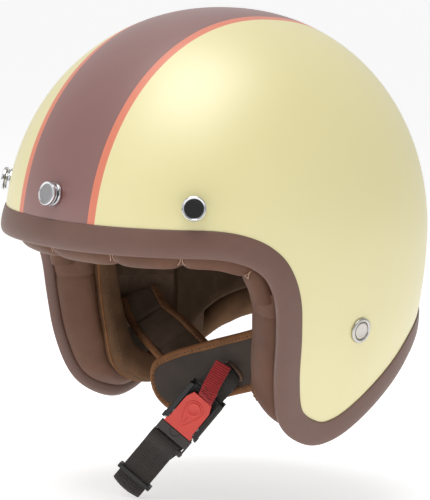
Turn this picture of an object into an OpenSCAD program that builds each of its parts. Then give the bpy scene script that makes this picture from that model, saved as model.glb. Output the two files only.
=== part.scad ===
// Open-face motorcycle helmet with a ratchet-buckle chin strap.
// The front is -Y, the wearer's left is +X and up is +Z. The origin is the middle of
// the head cavity, at the level where the shell is widest.

/* [Shell] */
// Half the width of the shell at its widest level
half_width = 122; // [118:1:126]
// From the origin to the front of the shell
front_length = 139; // [135:1:143]
// From the origin to the back of the shell
back_length = 130; // [126:1:134]
// From the origin to the crown
crown_height = 143.5; // [140:0.5:147]
// Depth at which the sides would close below the origin
lower_depth = 197; // [190:1:205]
// Thickness of the moulded shell
shell_wall = 3.2; // [2.8:0.1:3.6]

/* [Trim] */
// How far the trim covers the outside of the shell
trim_cover = 13; // [11:1:14]
// How far the trim stands proud of the shell
trim_bulge = 2.8; // [2:0.1:3.4]

/* [Padding] */
// Thickness of the energy-absorbing liner
eps_thickness = 24; // [20:1:26]
// Depth of the cheek pads below the outer surface of the shell
cheek_depth = 45; // [43:1:47]

/* [Fasteners] */
// Diameter of the snap studs for a peak or visor
stud_diameter = 15; // [14:0.5:16]
// Height of a snap stud above the shell
stud_height = 6.6; // [6:0.2:7]
// Diameter of the washers outside the strap rivets
anchor_diameter = 16; // [15:0.5:17]

/* [Chin strap] */
// Width of the comfort pads
pad_width = 38; // [34:1:40]
// Width of the webbing
webbing_width = 21; // [20:0.5:22]
// Thickness of the webbing
webbing_thickness = 1.5; // [1.2:0.1:1.8]
// Turn of the hanging buckle about the vertical
buckle_yaw = 40; // [36:1:44]
// Lean of the hanging buckle away from the vertical
buckle_lean = 36; // [33:1:39]

/* [Hidden] */

// Exponents of the shell's plan outline and of its side outline
plan_power = 2.3;
side_power = 2.08;

// The shell's edge on the wearer's left, as angle from the front and height
edge_points = [[0, -3], [20, -2.2], [36, -1], [47, -0.3], [54, -2.5], [59.5, -7.5],
               [63.6, -16], [66.6, -31], [68, -52], [69.3, -79], [72.4, -100.3],
               [78, -111.5], [88, -118], [97, -116], [106, -106.5], [120, -83.5],
               [131, -64], [143, -53], [160, -46], [180, -44]];
edge_steps = 2;

// Clearance between parts that lie against each other
gap = 0.3;
// Depths below the outer surface at which the layers begin and end
eps_outer = 5.4;
eps_inner = eps_outer + eps_thickness;
lining_outer = eps_inner + 1;
lining_inner = lining_outer + 7;
// The lower limit of the liner between the temples and the strap
strap_gap_top = -34;
strap_gap_back = 112;

// The rivets that hold the chin strap, on the axis about which it swings
anchor_y = 13.6;
anchor_z = -48;
anchor_angle = 96.6;
stud_angle = 41.2;
stud_level = 25;
stud_shank_r = 2;
rivet_r = 3;

// The buckle hangs at this point, in front of the chin pads
buckle_at = [10, -30, -118];
lever_width = 21.3;
frame_width = 23.6;
pin_level = -4;
pin_out = 3.2;
pin_r = 1;
barrel_r = 2;
tab_width = 10.8;

$fn = 48;

// ---------------------------------------------------------------- the shell's surface

function power(v, p) = sign(v) * pow(abs(v), p);

function height_limit(z, k) = (z > 0 ? crown_height : lower_depth) - k;

function plan_radius(a, k) =
    let (across = abs(sin(a)) / (half_width - k),
         along = abs(cos(a)) / ((cos(a) > 0 ? front_length : back_length) - k))
    pow(pow(across, plan_power) + pow(along, plan_power), -1 / plan_power);

// A point at depth k below the outer surface, at angle a from the front and height z
function skin(a, z, k = 0) =
    let (level = pow(max(0, 1 - pow(abs(z) / height_limit(z, k), side_power)), 1 / side_power),
         r = plan_radius(a, k) * level)
    [r * sin(a), -r * cos(a), z];

function latitude(z, k) = sign(z) * asin(pow(abs(z) / height_limit(z, k), side_power / 2));
function latitude_height(t, k) = height_limit(t, k) * power(sin(t), 2 / side_power);

// The direction square to the surface at point p
function outward(p) =
    let (b = p.y < 0 ? front_length : back_length,
         c = height_limit(p.z, 0),
         plan = pow(abs(p.x) / half_width, plan_power) + pow(abs(p.y) / b, plan_power),
         f = pow(plan, side_power / plan_power - 1),
         n = [f * power(p.x / half_width, plan_power - 1) / half_width,
              f * power(p.y / b, plan_power - 1) / b,
              power(p.z / c, side_power - 1) / c])
    n / norm(n);

function angle_of(p) = atan2(p.x, -p.y);
function on_skin(p) = skin(angle_of(p), p.z);

// ---------------------------------------------------------------- the shell's edge

// Smooth curve through four neighbouring points, at t between the middle two
function curve(p, q, r, s, t) =
    (2 * q + (r - p) * t + (2 * p - 5 * q + 4 * r - s) * t * t
     + (3 * q - p - 3 * r + s) * t * t * t) / 2;

function mirrored_edge(i) =
    let (n = len(edge_points) - 1)
    i < 0 ? [-edge_points[-i].x, edge_points[-i].y] :
    i > n ? [360 - edge_points[2 * n - i].x, edge_points[2 * n - i].y] : edge_points[i];

half_edge = [for (i = [0 : len(edge_points) - 2], s = [0 : edge_steps - 1])
                 curve(mirrored_edge(i - 1), mirrored_edge(i), mirrored_edge(i + 1),
                       mirrored_edge(i + 2), s / edge_steps),
             edge_points[len(edge_points) - 1]];
half_count = len(half_edge) - 1;
edge_count = 2 * half_count;
edge = [for (p = half_edge) p,
        for (i = [half_count - 1 : -1 : 1]) [360 - half_edge[i].x, half_edge[i].y]];
edge_at = [for (p = edge) skin(p.x, p.y)];

function wrap(i) = (i + edge_count) % edge_count;
function edge_way(i) = let (d = edge_at[wrap(i + 1)] - edge_at[wrap(i - 1)]) d / norm(d);
edge_down = [for (i = [0 : edge_count - 1]) cross(edge_way(i), outward(edge_at[i]))];

// A point d past the shell's edge, following its surface, and out beyond that surface
function edge_point(i, d, out) =
    let (s = on_skin(edge_at[wrap(i)] + d * edge_down[wrap(i)]))
    s + out * outward(s);

// The first index of the edge whose angle is at least a
function edge_index(a) = min([for (i = [0 : half_count]) if (half_edge[i].x >= a) i]);

// ---------------------------------------------------------------- solids from rings

// A solid through rings of points; a closed one runs back into its first ring
module loft(rings, closed = false) {
    n = len(rings[0]);
    m = len(rings);
    sides = [for (i = [0 : m - (closed ? 1 : 2)], j = [0 : n - 1])
                 let (a = i * n + j, b = i * n + (j + 1) % n,
                      c = (i + 1) % m * n + (j + 1) % n, d = (i + 1) % m * n + j)
                 each [[a, b, c], [a, c, d]]];
    ends = closed ? [] : [[for (j = [n - 1 : -1 : 0]) j], [for (j = [0 : n - 1]) (m - 1) * n + j]];
    polyhedron([for (ring = rings) each ring], concat(sides, ends), convexity = 10);
}

// A bowl between two depths, open below the given edge and closed over the crown
module bowl(rim, k_out, k_in, rows) {
    m = len(rim);
    function layer(k) =
        [for (j = [0 : rows - 1], p = rim)
             let (t = latitude(p.y, k))
             skin(p.x, j == 0 ? p.y : latitude_height(t + (90 - t) * j / rows, k), k),
         [0, 0, crown_height - k]];
    size = rows * m + 1;
    function side(at, flip) =
        [for (j = [0 : rows - 1], i = [0 : m - 1])
             let (a = at + j * m + i, b = at + j * m + (i + 1) % m,
                  c = j == rows - 1 ? at + rows * m : b + m, d = a + m)
             each concat(flip ? [[a, b, c]] : [[a, c, b]],
                         j == rows - 1 ? [] : flip ? [[a, c, d]] : [[a, d, c]])];
    lip = [for (i = [0 : m - 1]) let (a = i, b = (i + 1) % m)
               each [[a, b, b + size], [a, b + size, a + size]]];
    polyhedron(concat(layer(k_out), layer(k_in)),
               concat(side(0, false), side(size, true), lip), convexity = 10);
}

// A round roll along the edge, thinner at both ends
module edge_roll(first, last, past, depth, half_height, half_depth, taper = 3, sides = 10) {
    count = last - first;
    loft([for (i = [first : last])
              let (near_end = min(i - first, last - i),
                   s = near_end >= taper ? 1 : sqrt((near_end + 0.6) / (taper + 0.6)))
              [for (a = [0 : 360 / sides : 359])
                   edge_point(i, past + s * half_height * cos(a), -depth + s * half_depth * sin(a))]]);
}

// A cushion over a patch of the inside: flat towards the shell, crowned towards the head
module cushion(outline, k_back, k_side, k_face, rings, centre) {
    m = len(outline);
    function at(i, r, k) = let (p = centre + r * (outline[i] - centre)) skin(p.x, p.y, k);
    function crown(r) = k_side + (k_face - k_side) * pow(1 - pow(r, 3), 0.8);
    face = [for (j = [rings : -1 : 1], i = [0 : m - 1]) at(i, j / rings, crown(j / rings))];
    back = [for (j = [rings, 1], i = [0 : m - 1]) at(i, j / rings, k_back)];
    middle = len(face) + len(back);
    function band(from, flip) =
        [for (i = [0 : m - 1]) let (a = from + i, b = from + (i + 1) % m)
             each flip ? [[a, b + m, b], [a, a + m, b + m]] : [[a, b, b + m], [a, b + m, a + m]]];
    function fan(from, tip, flip) =
        [for (i = [0 : m - 1]) let (a = from + i, b = from + (i + 1) % m)
             flip ? [a, tip, b] : [a, b, tip]];
    wall = [for (i = [0 : m - 1]) let (a = i, b = (i + 1) % m, c = len(face))
                each [[a, b + c, b], [a, a + c, b + c]]];
    polyhedron(concat(face, back, [skin(centre.x, centre.y, k_face), skin(centre.x, centre.y, k_back)]),
               concat([for (j = [0 : rings - 2]) each band(j * m, false)],
                      fan((rings - 1) * m, middle, false),
                      band(len(face), true), fan(len(face) + m, middle + 1, true), wall),
               convexity = 4);
}

// Puts its children on the surface, with +Z pointing out of it
module on_surface(a, z) {
    p = skin(a, z);
    n = outward(p);
    translate(p) rotate([0, acos(n.z), atan2(n.y, n.x)]) children();
}

// ---------------------------------------------------------------- shell, trim and padding

module outer_shell()
    color([0.95, 0.92, 0.78]) difference() {
        bowl(edge, 0, shell_wall, 15);
        for (a = [-stud_angle, 0, stud_angle])
            on_surface(a, stud_level) cylinder(r = stud_shank_r + 0.05, h = 20, center = true);
        for (side = [-1, 1])
            on_surface(side * anchor_angle, anchor_z) cylinder(r = rivet_r + 0.05, h = 20, center = true);
    }

module edge_trim() {
    lip = 4;
    leg = 7;
    middle = (lip - trim_cover) / 2;
    reach = (lip + trim_cover) / 2;
    inner = -shell_wall - 3.2;
    profile = concat(
        [[gap, gap], [gap, -shell_wall - gap], [-leg, -shell_wall - gap], [-leg + 1, inner],
         [0, inner], [lip - 2.4, inner + 0.6], [lip - 0.4, -shell_wall]],
        [for (a = [0 : 22.5 : 180])
            [middle + reach * cos(a), gap + trim_bulge * sin(a) * (0.62 + 0.38 * cos(a))]]);
    color([0.43, 0.34, 0.29])
        loft([for (i = [0 : edge_count - 1]) [for (p = profile) edge_point(i, p.x, p.y)]], closed = true);
}

// The liner stops above the cheeks and the gap where the strap hangs
function liner_edge(inset, lift) =
    [for (i = [0 : edge_count - 1])
         let (p = edge_point(i, -inset, 0), a = angle_of(p))
         [a, abs(a) < strap_gap_back ? max(p.z, strap_gap_top + lift) : p.z]];

module eps_liner() color([0.2, 0.2, 0.21]) bowl(liner_edge(12, 0), eps_outer, eps_inner, 12);

module crown_liner()
    color([0.19, 0.16, 0.14]) bowl(liner_edge(17, 6), lining_outer, lining_inner, 12);

module brow_roll() {
    last = edge_index(66.6);
    color([0.42, 0.31, 0.27]) edge_roll(-last, last, 3.5, 21, 10.5, 13.5, 0);
}

module neck_roll() {
    first = edge_index(115);
    color([0.29, 0.22, 0.17]) edge_roll(first, edge_count - first, 4, 20, 13, 13);
}

module cheek_bolster() {
    color([0.42, 0.31, 0.27]) edge_roll(edge_index(66.6), edge_index(94), -1, 22, 9, 16, 0);
}

// Outline of a cheek cushion: inset from the shell's edge, cut straight above, and cut
// back behind to leave the strap its room
function cheek_outline(inset, back, top) =
    concat([for (i = [edge_index(66.5) : edge_index(88)])
                let (p = edge_point(i, -inset, -22)) if (p.z < top - 4 && angle_of(p) < back - 1)
                    [angle_of(p), p.z]],
           [[back, -93], [back, -75], [back, -56], [back, top], [back - 6, top], [back - 12, top]]);

cheek_middle = [78, -68];
cheek_back = 85;

module cheek_foam()
    color([0.16, 0.16, 0.17])
        cushion(cheek_outline(13, cheek_back, strap_gap_top - 2), eps_outer, 25, 27, 3, cheek_middle);

module cheek_pad()
    color([0.29, 0.22, 0.17])
        cushion(cheek_outline(13.5, cheek_back - 0.5, strap_gap_top - 2.5), 27.8, 32, cheek_depth, 4,
                cheek_middle);

// Thin lining of the shell's inside, behind the cheek pad, where the strap hangs
module ear_lining()
    color([0.13, 0.12, 0.11]) difference() {
        cushion([[86, -60], [86, -88], [91, -95], [92, -105], [99, -103], [105, -96], [108, -86],
                 [109, -60], [109, -37], [99, -37], [86, -37]], 4.2, 5.8, 6, 2, [98, -70]);
        translate([rivet_tip, anchor_y, anchor_z]) rotate([0, 90, 0])
            cylinder(r = rivet_r + 1, h = half_width - rivet_tip);
    }

// ---------------------------------------------------------------- studs and rivets

// A spool-shaped chrome stud that a press-on peak or visor snaps over
module snap_stud(a) {
    r = stud_diameter / 2;
    foot = 2.2;
    head = 2.4;
    color([0.86, 0.86, 0.87]) on_surface(a, stud_level) {
        translate([0, 0, -shell_wall - 1.9]) cylinder(r = stud_shank_r, h = shell_wall + 2.9);
        translate([0, 0, gap]) cylinder(r = r, h = foot - gap);
        cylinder(r = r - 2.4, h = stud_height - head + 0.1);
        translate([0, 0, stud_height - head]) cylinder(r = r, h = head - 0.5);
        translate([0, 0, stud_height - 0.5]) cylinder(r1 = r, r2 = r - 0.5, h = 0.5, $fn = 96);
    }
}

module stud_backing_washers()
    color([0.6, 0.6, 0.62])
        for (a = [-stud_angle, 0, stud_angle])
            on_surface(a, stud_level)
                translate([0, 0, -shell_wall - 1.8]) difference() {
                    cylinder(r = 6, h = 1);
                    translate([0, 0, -1]) cylinder(r = stud_shank_r + 0.05, h = 3);
                }

// Washer ring that shows outside the shell, with the rivet's head inside it
module anchor_washer()
    color([0.72, 0.71, 0.69]) on_surface(anchor_angle, anchor_z)
        rotate_extrude() polygon([[5.6, gap], [anchor_diameter / 2, gap],
                                  [anchor_diameter / 2 - 0.3, 1.3], [anchor_diameter / 2 - 1.2, 1.7],
                                  [6.4, 1.5], [5.6, 0.9]]);

rivet_tip = 100;

module anchor_rivet() {
    head = skin(anchor_angle, anchor_z);
    color([0.7, 0.67, 0.63]) {
        on_surface(anchor_angle, anchor_z) {
            translate([0, 0, -shell_wall - 2.2]) cylinder(r = rivet_r, h = shell_wall + 2.6);
            translate([0, 0, gap]) cylinder(r = 5.2, h = 1);
        }
        translate([rivet_tip, anchor_y, anchor_z]) rotate([0, 90, 0])
            cylinder(r = rivet_r, h = head.x - shell_wall - 1.2 - rivet_tip);
        translate([rivet_tip - 1.5, anchor_y, anchor_z]) rotate([0, 90, 0]) cylinder(r = 5, h = 1.5);
    }
}

// ---------------------------------------------------------------- chin strap

// A smooth line through points, with n steps from each to the next
function smooth(list, n) =
    let (m = len(list) - 1, all = concat([2 * list[0] - list[1]], list, [2 * list[m] - list[m - 1]]))
    [for (i = [0 : m - 1], s = [0 : n - 1]) curve(all[i], all[i + 1], all[i + 2], all[i + 3], s / n),
     list[m]];

// A flat band through points, with the direction of its width at each of them; its cross-sections
// face along its line, or all of them face the way given
module band(points, across, width, thickness, facing = undef) {
    last = len(points) - 1;
    function unit(v) = v / norm(v);
    function way(i) =
        facing == undef ? unit(points[min(i + 1, last)] - points[max(i - 1, 0)]) : facing;
    loft([for (i = [0 : last])
              let (w0 = across[i] / norm(across[i]),
                   n = unit(cross(way(i), w0)), w = cross(n, way(i)),
                   a = width[i] / 2 * w, t = thickness / 2 * n)
              [points[i] - a + t, points[i] + a + t, points[i] + a - t, points[i] - a - t]]);
}

// Centre lines of the two comfort pads, from the anchor to the end under the chin
pad_left_path = [[90, 7, -59], [70, 3, -66], [45, -4, -76], [15, -10.5, -86.5], [-10, -16, -96],
                 [-25, -19.3, -102.5], [-33, -21, -106.2]];
pad_left_across = [for (p = pad_left_path) [-0.29, -0.19, 0.94]];
pad_left_width = [0.8, 1, 1, 1, 1, 0.9, 0.62];
pad_right_path = [[-90, 8.5, -51.5], [-75, 8, -65.5], [-52, 6.5, -75.5], [-20, 4.5, -90]];
pad_right_across = [[0, 0.77, 0.63], [0.3, 0.68, 0.6], [0.55, 0.67, 0.5], [0.55, 0.67, 0.5]];
pad_right_width = [0.74, 0.78, 0.86, 0.86];
pad_thickness = 7;
binding_width = 6;

module chin_pad(path, across, width)
    band(path, across, [for (w = width) w * pad_width - 2 * binding_width], pad_thickness);

module chin_pad_left()
    color([0.42, 0.36, 0.31]) chin_pad(pad_left_path, pad_left_across, pad_left_width);

module chin_pad_right()
    color([0.25, 0.19, 0.15]) chin_pad(pad_right_path, pad_right_across, pad_right_width);

// The binding is one strip, sewn along the pad's upper edge, round its end and back below
module pad_binding(path, across, width) {
    last = len(path) - 1;
    over = binding_width / 2 - gap / 2;
    function rim(i, side) =
        path[i] + side * (width[i] * pad_width / 2 - over) * across[i] / norm(across[i]);
    way = path[last] - path[last - 1];
    tip = path[last] + over * way / norm(way);
    route = concat([for (i = [0 : last]) rim(i, 1)], [tip], [for (i = [last : -1 : 0]) rim(i, -1)]);
    band(route, concat(across, [way], [for (i = [last : -1 : 0]) -across[i]]),
         [for (p = route) 2 * over - gap], pad_thickness - 1);
}

module pad_binding_left()
    color([0.42, 0.27, 0.18]) pad_binding(pad_left_path, pad_left_across, pad_left_width);

module pad_binding_right()
    color([0.42, 0.27, 0.18]) pad_binding(pad_right_path, pad_right_across, pad_right_width);

// The steel plate that turns on the rivet and carries the strap
module hanger_plate()
    color([0.62, 0.62, 0.64])
        translate([rivet_tip + 2, anchor_y, anchor_z]) rotate([0, 90, 0]) difference() {
            union() {
                cylinder(r = 8.5, h = 1.8);
                translate([0, -12, 0]) cube([16, 24, 1.8]);
            }
            translate([0, 0, -1]) cylinder(r = rivet_r + 0.06, h = 4);
            translate([11, -10.8, -1]) cube([3, 21.6, 4]);
        }

// Between the plate's slot and the pad, the webbing turns from lying flat to standing on edge
module webbing_left()
    color([0.12, 0.12, 0.12])
        band([for (i = [0 : 10]) [100.6 - 0.72 * i, 12.6 - 0.46 * i, -61 + 0.18 * i]],
             [for (i = [0 : 10]) [0, cos(6 * i), sin(6 * i)]],
             [for (i = [0 : 10]) webbing_width], webbing_thickness, [-1, 0, 0]);

// The right-hand webbing runs from the plate inside the pad, and comes out of its lower end
module webbing_right() {
    route = concat([[-19, 4.4, -90.4], [-12, 4, -106], [-6, -4, -119], [-4.5, -13, -124]],
                   [for (l = [-16, -28, -40]) in_buckle([1, -10 + 0.05 * (l + 40), l])]);
    across = [pad_right_across[3], [0.75, 0.6, 0.2], [0.9, 0.3, -0.1], [0.85, 0.4, -0.2],
              buckle_x, buckle_x, buckle_x];
    color([0.12, 0.12, 0.12]) {
        band([for (i = [0 : 6]) [-100.6 + 1.2 * i, 12.6 - 0.6 * i, -61 + 0.9 * i]],
             [for (i = [0 : 6]) [0, cos(6 * i), sin(6 * i)]],
             [for (i = [0 : 6]) webbing_width], webbing_thickness, [1, 0, 0]);
        band(smooth(route, 4), smooth(across, 4), [for (i = [0 : 24]) webbing_width],
             webbing_thickness);
    }
}

// ---------------------------------------------------------------- buckle

// Directions of the buckle: across it, out of its face, and along it towards the pad
buckle_x = [cos(buckle_lean) * cos(buckle_yaw), cos(buckle_lean) * sin(buckle_yaw), -sin(buckle_lean)];
buckle_face = [sin(buckle_yaw), -cos(buckle_yaw), 0];
buckle_up = [sin(buckle_lean) * cos(buckle_yaw), sin(buckle_lean) * sin(buckle_yaw), cos(buckle_lean)];

// A point of the buckle's own frame: across, out of the face, along
function in_buckle(p) = buckle_at + p.x * buckle_x + p.y * buckle_face + p.z * buckle_up;

// Puts children, drawn across +X, out of the face along -Y and along +Z, where the buckle hangs
module at_buckle() translate(buckle_at) rotate([0, buckle_lean, buckle_yaw]) children();

// From the buttonhole in the left pad down into the buckle
module buckle_webbing()
    color([0.12, 0.12, 0.12])
        band([in_buckle([4.4, -0.6, 43.5]), in_buckle([3.4, 1.2, 39.5]), in_buckle([2.4, 1.2, 35]),
              in_buckle([1.4, 0, 29.5]), in_buckle([1, -1.8, 23.5])],
             [for (i = [0 : 4]) buckle_x], [14, 17, 20, webbing_width, webbing_width],
             webbing_thickness);

// Bent steel channel that carries the pin between its two ears
module buckle_frame()
    color([0.75, 0.75, 0.76]) at_buckle() translate([1, 0, 0]) {
        difference() {
            translate([-frame_width / 2, 1.8, -7]) cube([frame_width, 1.2, 30]);
            translate([-6, 0, 16]) cube([12, 5, 4]);
        }
        for (side = [-1, 1]) difference() {
            translate([side * (frame_width / 2 - 0.5) - 0.5, -5, -7]) cube([1, 8, 28]);
            translate([side * (frame_width / 2 - 0.5) - 2, -pin_out, pin_level])
                rotate([0, 90, 0]) cylinder(r = pin_r + 0.02, h = 4);
        }
    }

// Black moulding that shields the back and the sides of the frame
module buckle_cover()
    color([0.1, 0.1, 0.1]) at_buckle() translate([1, 0, 0]) difference() {
        translate([-frame_width / 2 - 1.4, -3.4, -5.5]) cube([frame_width + 2.8, 8, 29]);
        translate([-frame_width / 2 - 0.1, -10, -8]) cube([frame_width + 0.2, 13.1, 40]);
        translate([-frame_width, -4, 22]) rotate([45, 0, 0]) cube([60, 6, 6]);
    }

module lever_pin()
    color([0.8, 0.8, 0.8]) at_buckle()
        translate([1 - frame_width / 2, -pin_out, pin_level])
            rotate([0, 90, 0]) cylinder(r = pin_r, h = frame_width);

// Coil round the pin, at its middle
module lever_spring()
    color([0.7, 0.7, 0.7]) at_buckle()
        translate([1 - 3, -pin_out, pin_level]) rotate([0, 90, 0]) rotate_extrude()
            for (turn = [0 : 4]) translate([pin_r + 0.45, 0.6 + turn * 1.2]) circle(r = 0.32, $fn = 16);

// Red lever with tapered top, hooked tooth below and a barrel round the pin
module release_lever()
    color([0.8, 0.26, 0.24]) at_buckle() translate([1, 0, 0]) {
        half = lever_width / 2;
        difference() {
            union() {
                translate([0, -3.4, 0]) rotate([90, 0, 0]) linear_extrude(2.4)
                    polygon([[-half, -7.8], [half, -7.8], [half, -5.2], [half - 1.1, -5.2], [half - 1.3, 13],
                             [7, 18.4], [-7, 18.4], [-half + 1.3, 13], [-half + 1.1, -5.2], [-half, -5.2]]);
                for (side = [-1, 1]) translate([side * 6.8 - 2.4, -pin_out, pin_level]) rotate([0, 90, 0])
                    cylinder(r = barrel_r, h = 4.8);
                translate([-8, -3.5, 6]) cube([16, 2.4, 1.2]);
            }
            translate([-20, -pin_out, pin_level]) rotate([0, 90, 0]) cylinder(r = pin_r + 0.05, h = 40);
            translate([-3.6, -pin_out - 1.95, pin_level - 2]) cube([7.2, 4, 4]);
        }
    }

// Ribbed red pull tab, sewn to the top of the lever
module pull_tab()
    color([0.6, 0.15, 0.18])
        band([in_buckle([2, 6.4, 9]), in_buckle([2, 6.4, 15]), in_buckle([1.6, 6.6, 19.5]),
              in_buckle([-0.5, 7, 29]), in_buckle([-3.2, 5.8, 44.6])],
             [for (a = [-6, -8, -12, -14, -14]) buckle_x + buckle_up * sin(a)],
             [for (i = [0 : 4]) tab_width], 1);

// Toothed tongue that runs into the frame from below
module ratchet_tongue()
    color([0.13, 0.13, 0.13]) at_buckle() translate([1, 0, 0]) {
        translate([-8, 0.2, -12]) cube([16, 1.3, 32]);
        for (i = [0 : 7]) translate([-8, 0.2, 3 + i * 2.2]) rotate([0, 90, 0])
            linear_extrude(16) polygon([[0, 0.1], [0, -0.9], [1.8, 0.1]]);
        difference() {
            translate([-12.2, -2.4, -21.5]) cube([24.4, 4.2, 12.3]);
            translate([-10.9, -6, -18.4]) cube([21.8, 12, 3.2]);
            translate([-20, -0.4, -20.1]) rotate([0, 90, 0]) cylinder(r = 1.02, h = 40);
        }
    }

// Steel bar in the tongue's mouth, which the webbing loops round
module tongue_bar()
    color([0.75, 0.75, 0.76]) at_buckle() translate([1 - 12.6, -0.4, -20.1]) rotate([0, 90, 0])
        cylinder(r = 1, h = 25.2);

// The webbing hangs from the bar in two runs, and its end is folded and sewn at the bottom
module tongue_webbing()
    color([0.12, 0.12, 0.12]) {
        band([for (l = [-22.2, -34, -45, -53.4]) in_buckle([-1, 0.6, l])],
             [for (i = [0 : 3]) buckle_x], [for (i = [0 : 3]) webbing_width], webbing_thickness);
        band([for (l = [-44, -53.4]) in_buckle([-1, -2.65, l])],
             [buckle_x, buckle_x], [webbing_width, webbing_width], webbing_thickness);
        band([for (l = [-53.2, -59]) in_buckle([-1, -1, l])],
             [buckle_x, buckle_x], [webbing_width, webbing_width], 5.6);
    }

// Three-bar slider that holds the folded end
module strap_slider()
    color([0.14, 0.14, 0.14]) at_buckle() translate([-1, 1, -50]) difference() {
        translate([-webbing_width / 2 - 2.4, -4.2, -1.5]) cube([webbing_width + 4.8, 8.4, 3]);
        for (y = [-2.6, 0.6]) translate([-webbing_width / 2 - gap, y, -5])
            cube([webbing_width + 2 * gap, 2.1, 10]);
    }

outer_shell();
edge_trim();
eps_liner();
crown_liner();
brow_roll();
neck_roll();
cheek_foam();  // cheek_foam_left
mirror([1, 0, 0]) cheek_foam();  // cheek_foam_right
cheek_pad();  // cheek_pad_left
mirror([1, 0, 0]) cheek_pad();  // cheek_pad_right
cheek_bolster();  // cheek_bolster_left
mirror([1, 0, 0]) cheek_bolster();  // cheek_bolster_right
ear_lining();  // ear_lining_left
mirror([1, 0, 0]) ear_lining();  // ear_lining_right
snap_stud(0);  // snap_stud_centre
snap_stud(stud_angle);  // snap_stud_left
snap_stud(-stud_angle);  // snap_stud_right
stud_backing_washers();
anchor_washer();  // anchor_washer_left
mirror([1, 0, 0]) anchor_washer();  // anchor_washer_right
anchor_rivet();  // anchor_rivet_left
mirror([1, 0, 0]) anchor_rivet();  // anchor_rivet_right
hanger_plate();  // hanger_plate_left
mirror([1, 0, 0]) hanger_plate();  // hanger_plate_right
webbing_left();
webbing_right();
chin_pad_left();
chin_pad_right();
pad_binding_left();
pad_binding_right();
buckle_webbing();
buckle_frame();
buckle_cover();
lever_pin();
lever_spring();
release_lever();
pull_tab();
ratchet_tongue();
tongue_bar();
tongue_webbing();
strap_slider();
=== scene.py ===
"""Looks of an open-face motorcycle helmet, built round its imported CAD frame.

Front is -Y, the wearer's left is +X and up is +Z, in metres.
"""
import math

import bmesh
import bpy
import numpy as np
from mathutils import Matrix, Vector
from mathutils.bvhtree import BVHTree


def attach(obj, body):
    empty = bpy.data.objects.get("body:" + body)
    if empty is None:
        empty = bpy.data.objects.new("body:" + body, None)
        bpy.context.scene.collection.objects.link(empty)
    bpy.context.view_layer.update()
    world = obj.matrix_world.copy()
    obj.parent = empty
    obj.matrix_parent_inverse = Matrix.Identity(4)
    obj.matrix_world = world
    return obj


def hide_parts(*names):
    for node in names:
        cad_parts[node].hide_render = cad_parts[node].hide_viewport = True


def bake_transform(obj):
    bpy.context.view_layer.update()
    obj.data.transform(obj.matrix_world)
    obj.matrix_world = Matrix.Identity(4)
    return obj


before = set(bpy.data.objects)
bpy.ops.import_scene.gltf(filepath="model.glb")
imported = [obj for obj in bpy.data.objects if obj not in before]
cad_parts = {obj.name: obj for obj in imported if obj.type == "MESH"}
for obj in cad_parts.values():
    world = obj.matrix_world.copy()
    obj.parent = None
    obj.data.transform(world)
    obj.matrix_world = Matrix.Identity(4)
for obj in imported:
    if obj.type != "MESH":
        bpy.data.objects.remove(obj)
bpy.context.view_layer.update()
MM = 0.001

# ---------------------------------------------------------------- the shell's form, as in the CAD
HALF_WIDTH, FRONT, BACK = 122 * MM, 139 * MM, 130 * MM
CROWN, LOWER = 143.5 * MM, 197 * MM
NEAR_CROWN = 0.998  # rows of points stop this far up, so that they don't meet in one point
PLAN_POWER, SIDE_POWER = 2.3, 2.08
WALL = 3.2 * MM
EDGE = [(0, -3), (20, -2.2), (36, -1), (47, -0.3), (54, -2.5), (59.5, -7.5), (63.6, -16),
        (66.6, -31), (68, -52), (69.3, -79), (72.4, -100.3), (78, -111.5), (88, -118), (97, -116),
        (106, -106.5), (120, -83.5), (131, -64), (143, -53), (160, -46), (180, -44)]
EDGE_STEPS = 10
STUD_ANGLE, STUD_LEVEL = 41.2, 25 * MM
ANCHOR_ANGLE, ANCHOR_LEVEL = 96.6, -48 * MM


def srgb(red, green, blue):
    """A colour given in 0 to 255, as linear RGBA."""
    return tuple(((c / 255 + 0.055) / 1.055) ** 2.4 if c > 10 else c / 3294.6
                 for c in (red, green, blue)) + (1.0,)


def unit(v):
    return v / np.maximum(np.linalg.norm(v, axis=-1, keepdims=True), 1e-12)


def power(v, p):
    return np.sign(v) * np.abs(v) ** p


def skin(angle, z, k=0.0):
    """Points at depth k below the shell's outer surface, at an angle from the front and a height."""
    a, z, k = np.broadcast_arrays(np.radians(angle), z, k)
    s, c = np.sin(a), np.cos(a)
    level = np.maximum(0, 1 - (np.abs(z) / (np.where(z > 0, CROWN, LOWER) - k)) ** SIDE_POWER)
    plan = (np.abs(s) / (HALF_WIDTH - k)) ** PLAN_POWER
    plan = plan + (np.abs(c) / (np.where(c > 0, FRONT, BACK) - k)) ** PLAN_POWER
    r = plan ** (-1 / PLAN_POWER) * level ** (1 / SIDE_POWER)
    return np.stack([r * s, -r * c, z + 0 * r], -1)


def outward(p):
    """Directions square to the shell's surface at points p."""
    x, y, z = np.moveaxis(p, -1, 0)
    b, c = np.where(y < 0, FRONT, BACK), np.where(z > 0, CROWN, LOWER)
    plan = np.abs(x / HALF_WIDTH) ** PLAN_POWER + np.abs(y / b) ** PLAN_POWER
    f = np.maximum(plan, 1e-9) ** (SIDE_POWER / PLAN_POWER - 1)
    return unit(np.stack([f * power(x / HALF_WIDTH, PLAN_POWER - 1) / HALF_WIDTH,
                          f * power(y / b, PLAN_POWER - 1) / b,
                          power(z / c, SIDE_POWER - 1) / c], -1))


def angle_of(p):
    return np.degrees(np.arctan2(p[..., 0], -p[..., 1]))


def between(p, q, r, s, t):
    """Catmull-Rom curve between q and r."""
    return (2 * q + (r - p) * t + (2 * p - 5 * q + 4 * r - s) * t * t
            + (3 * q - p - 3 * r + s) * t ** 3) / 2


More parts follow.
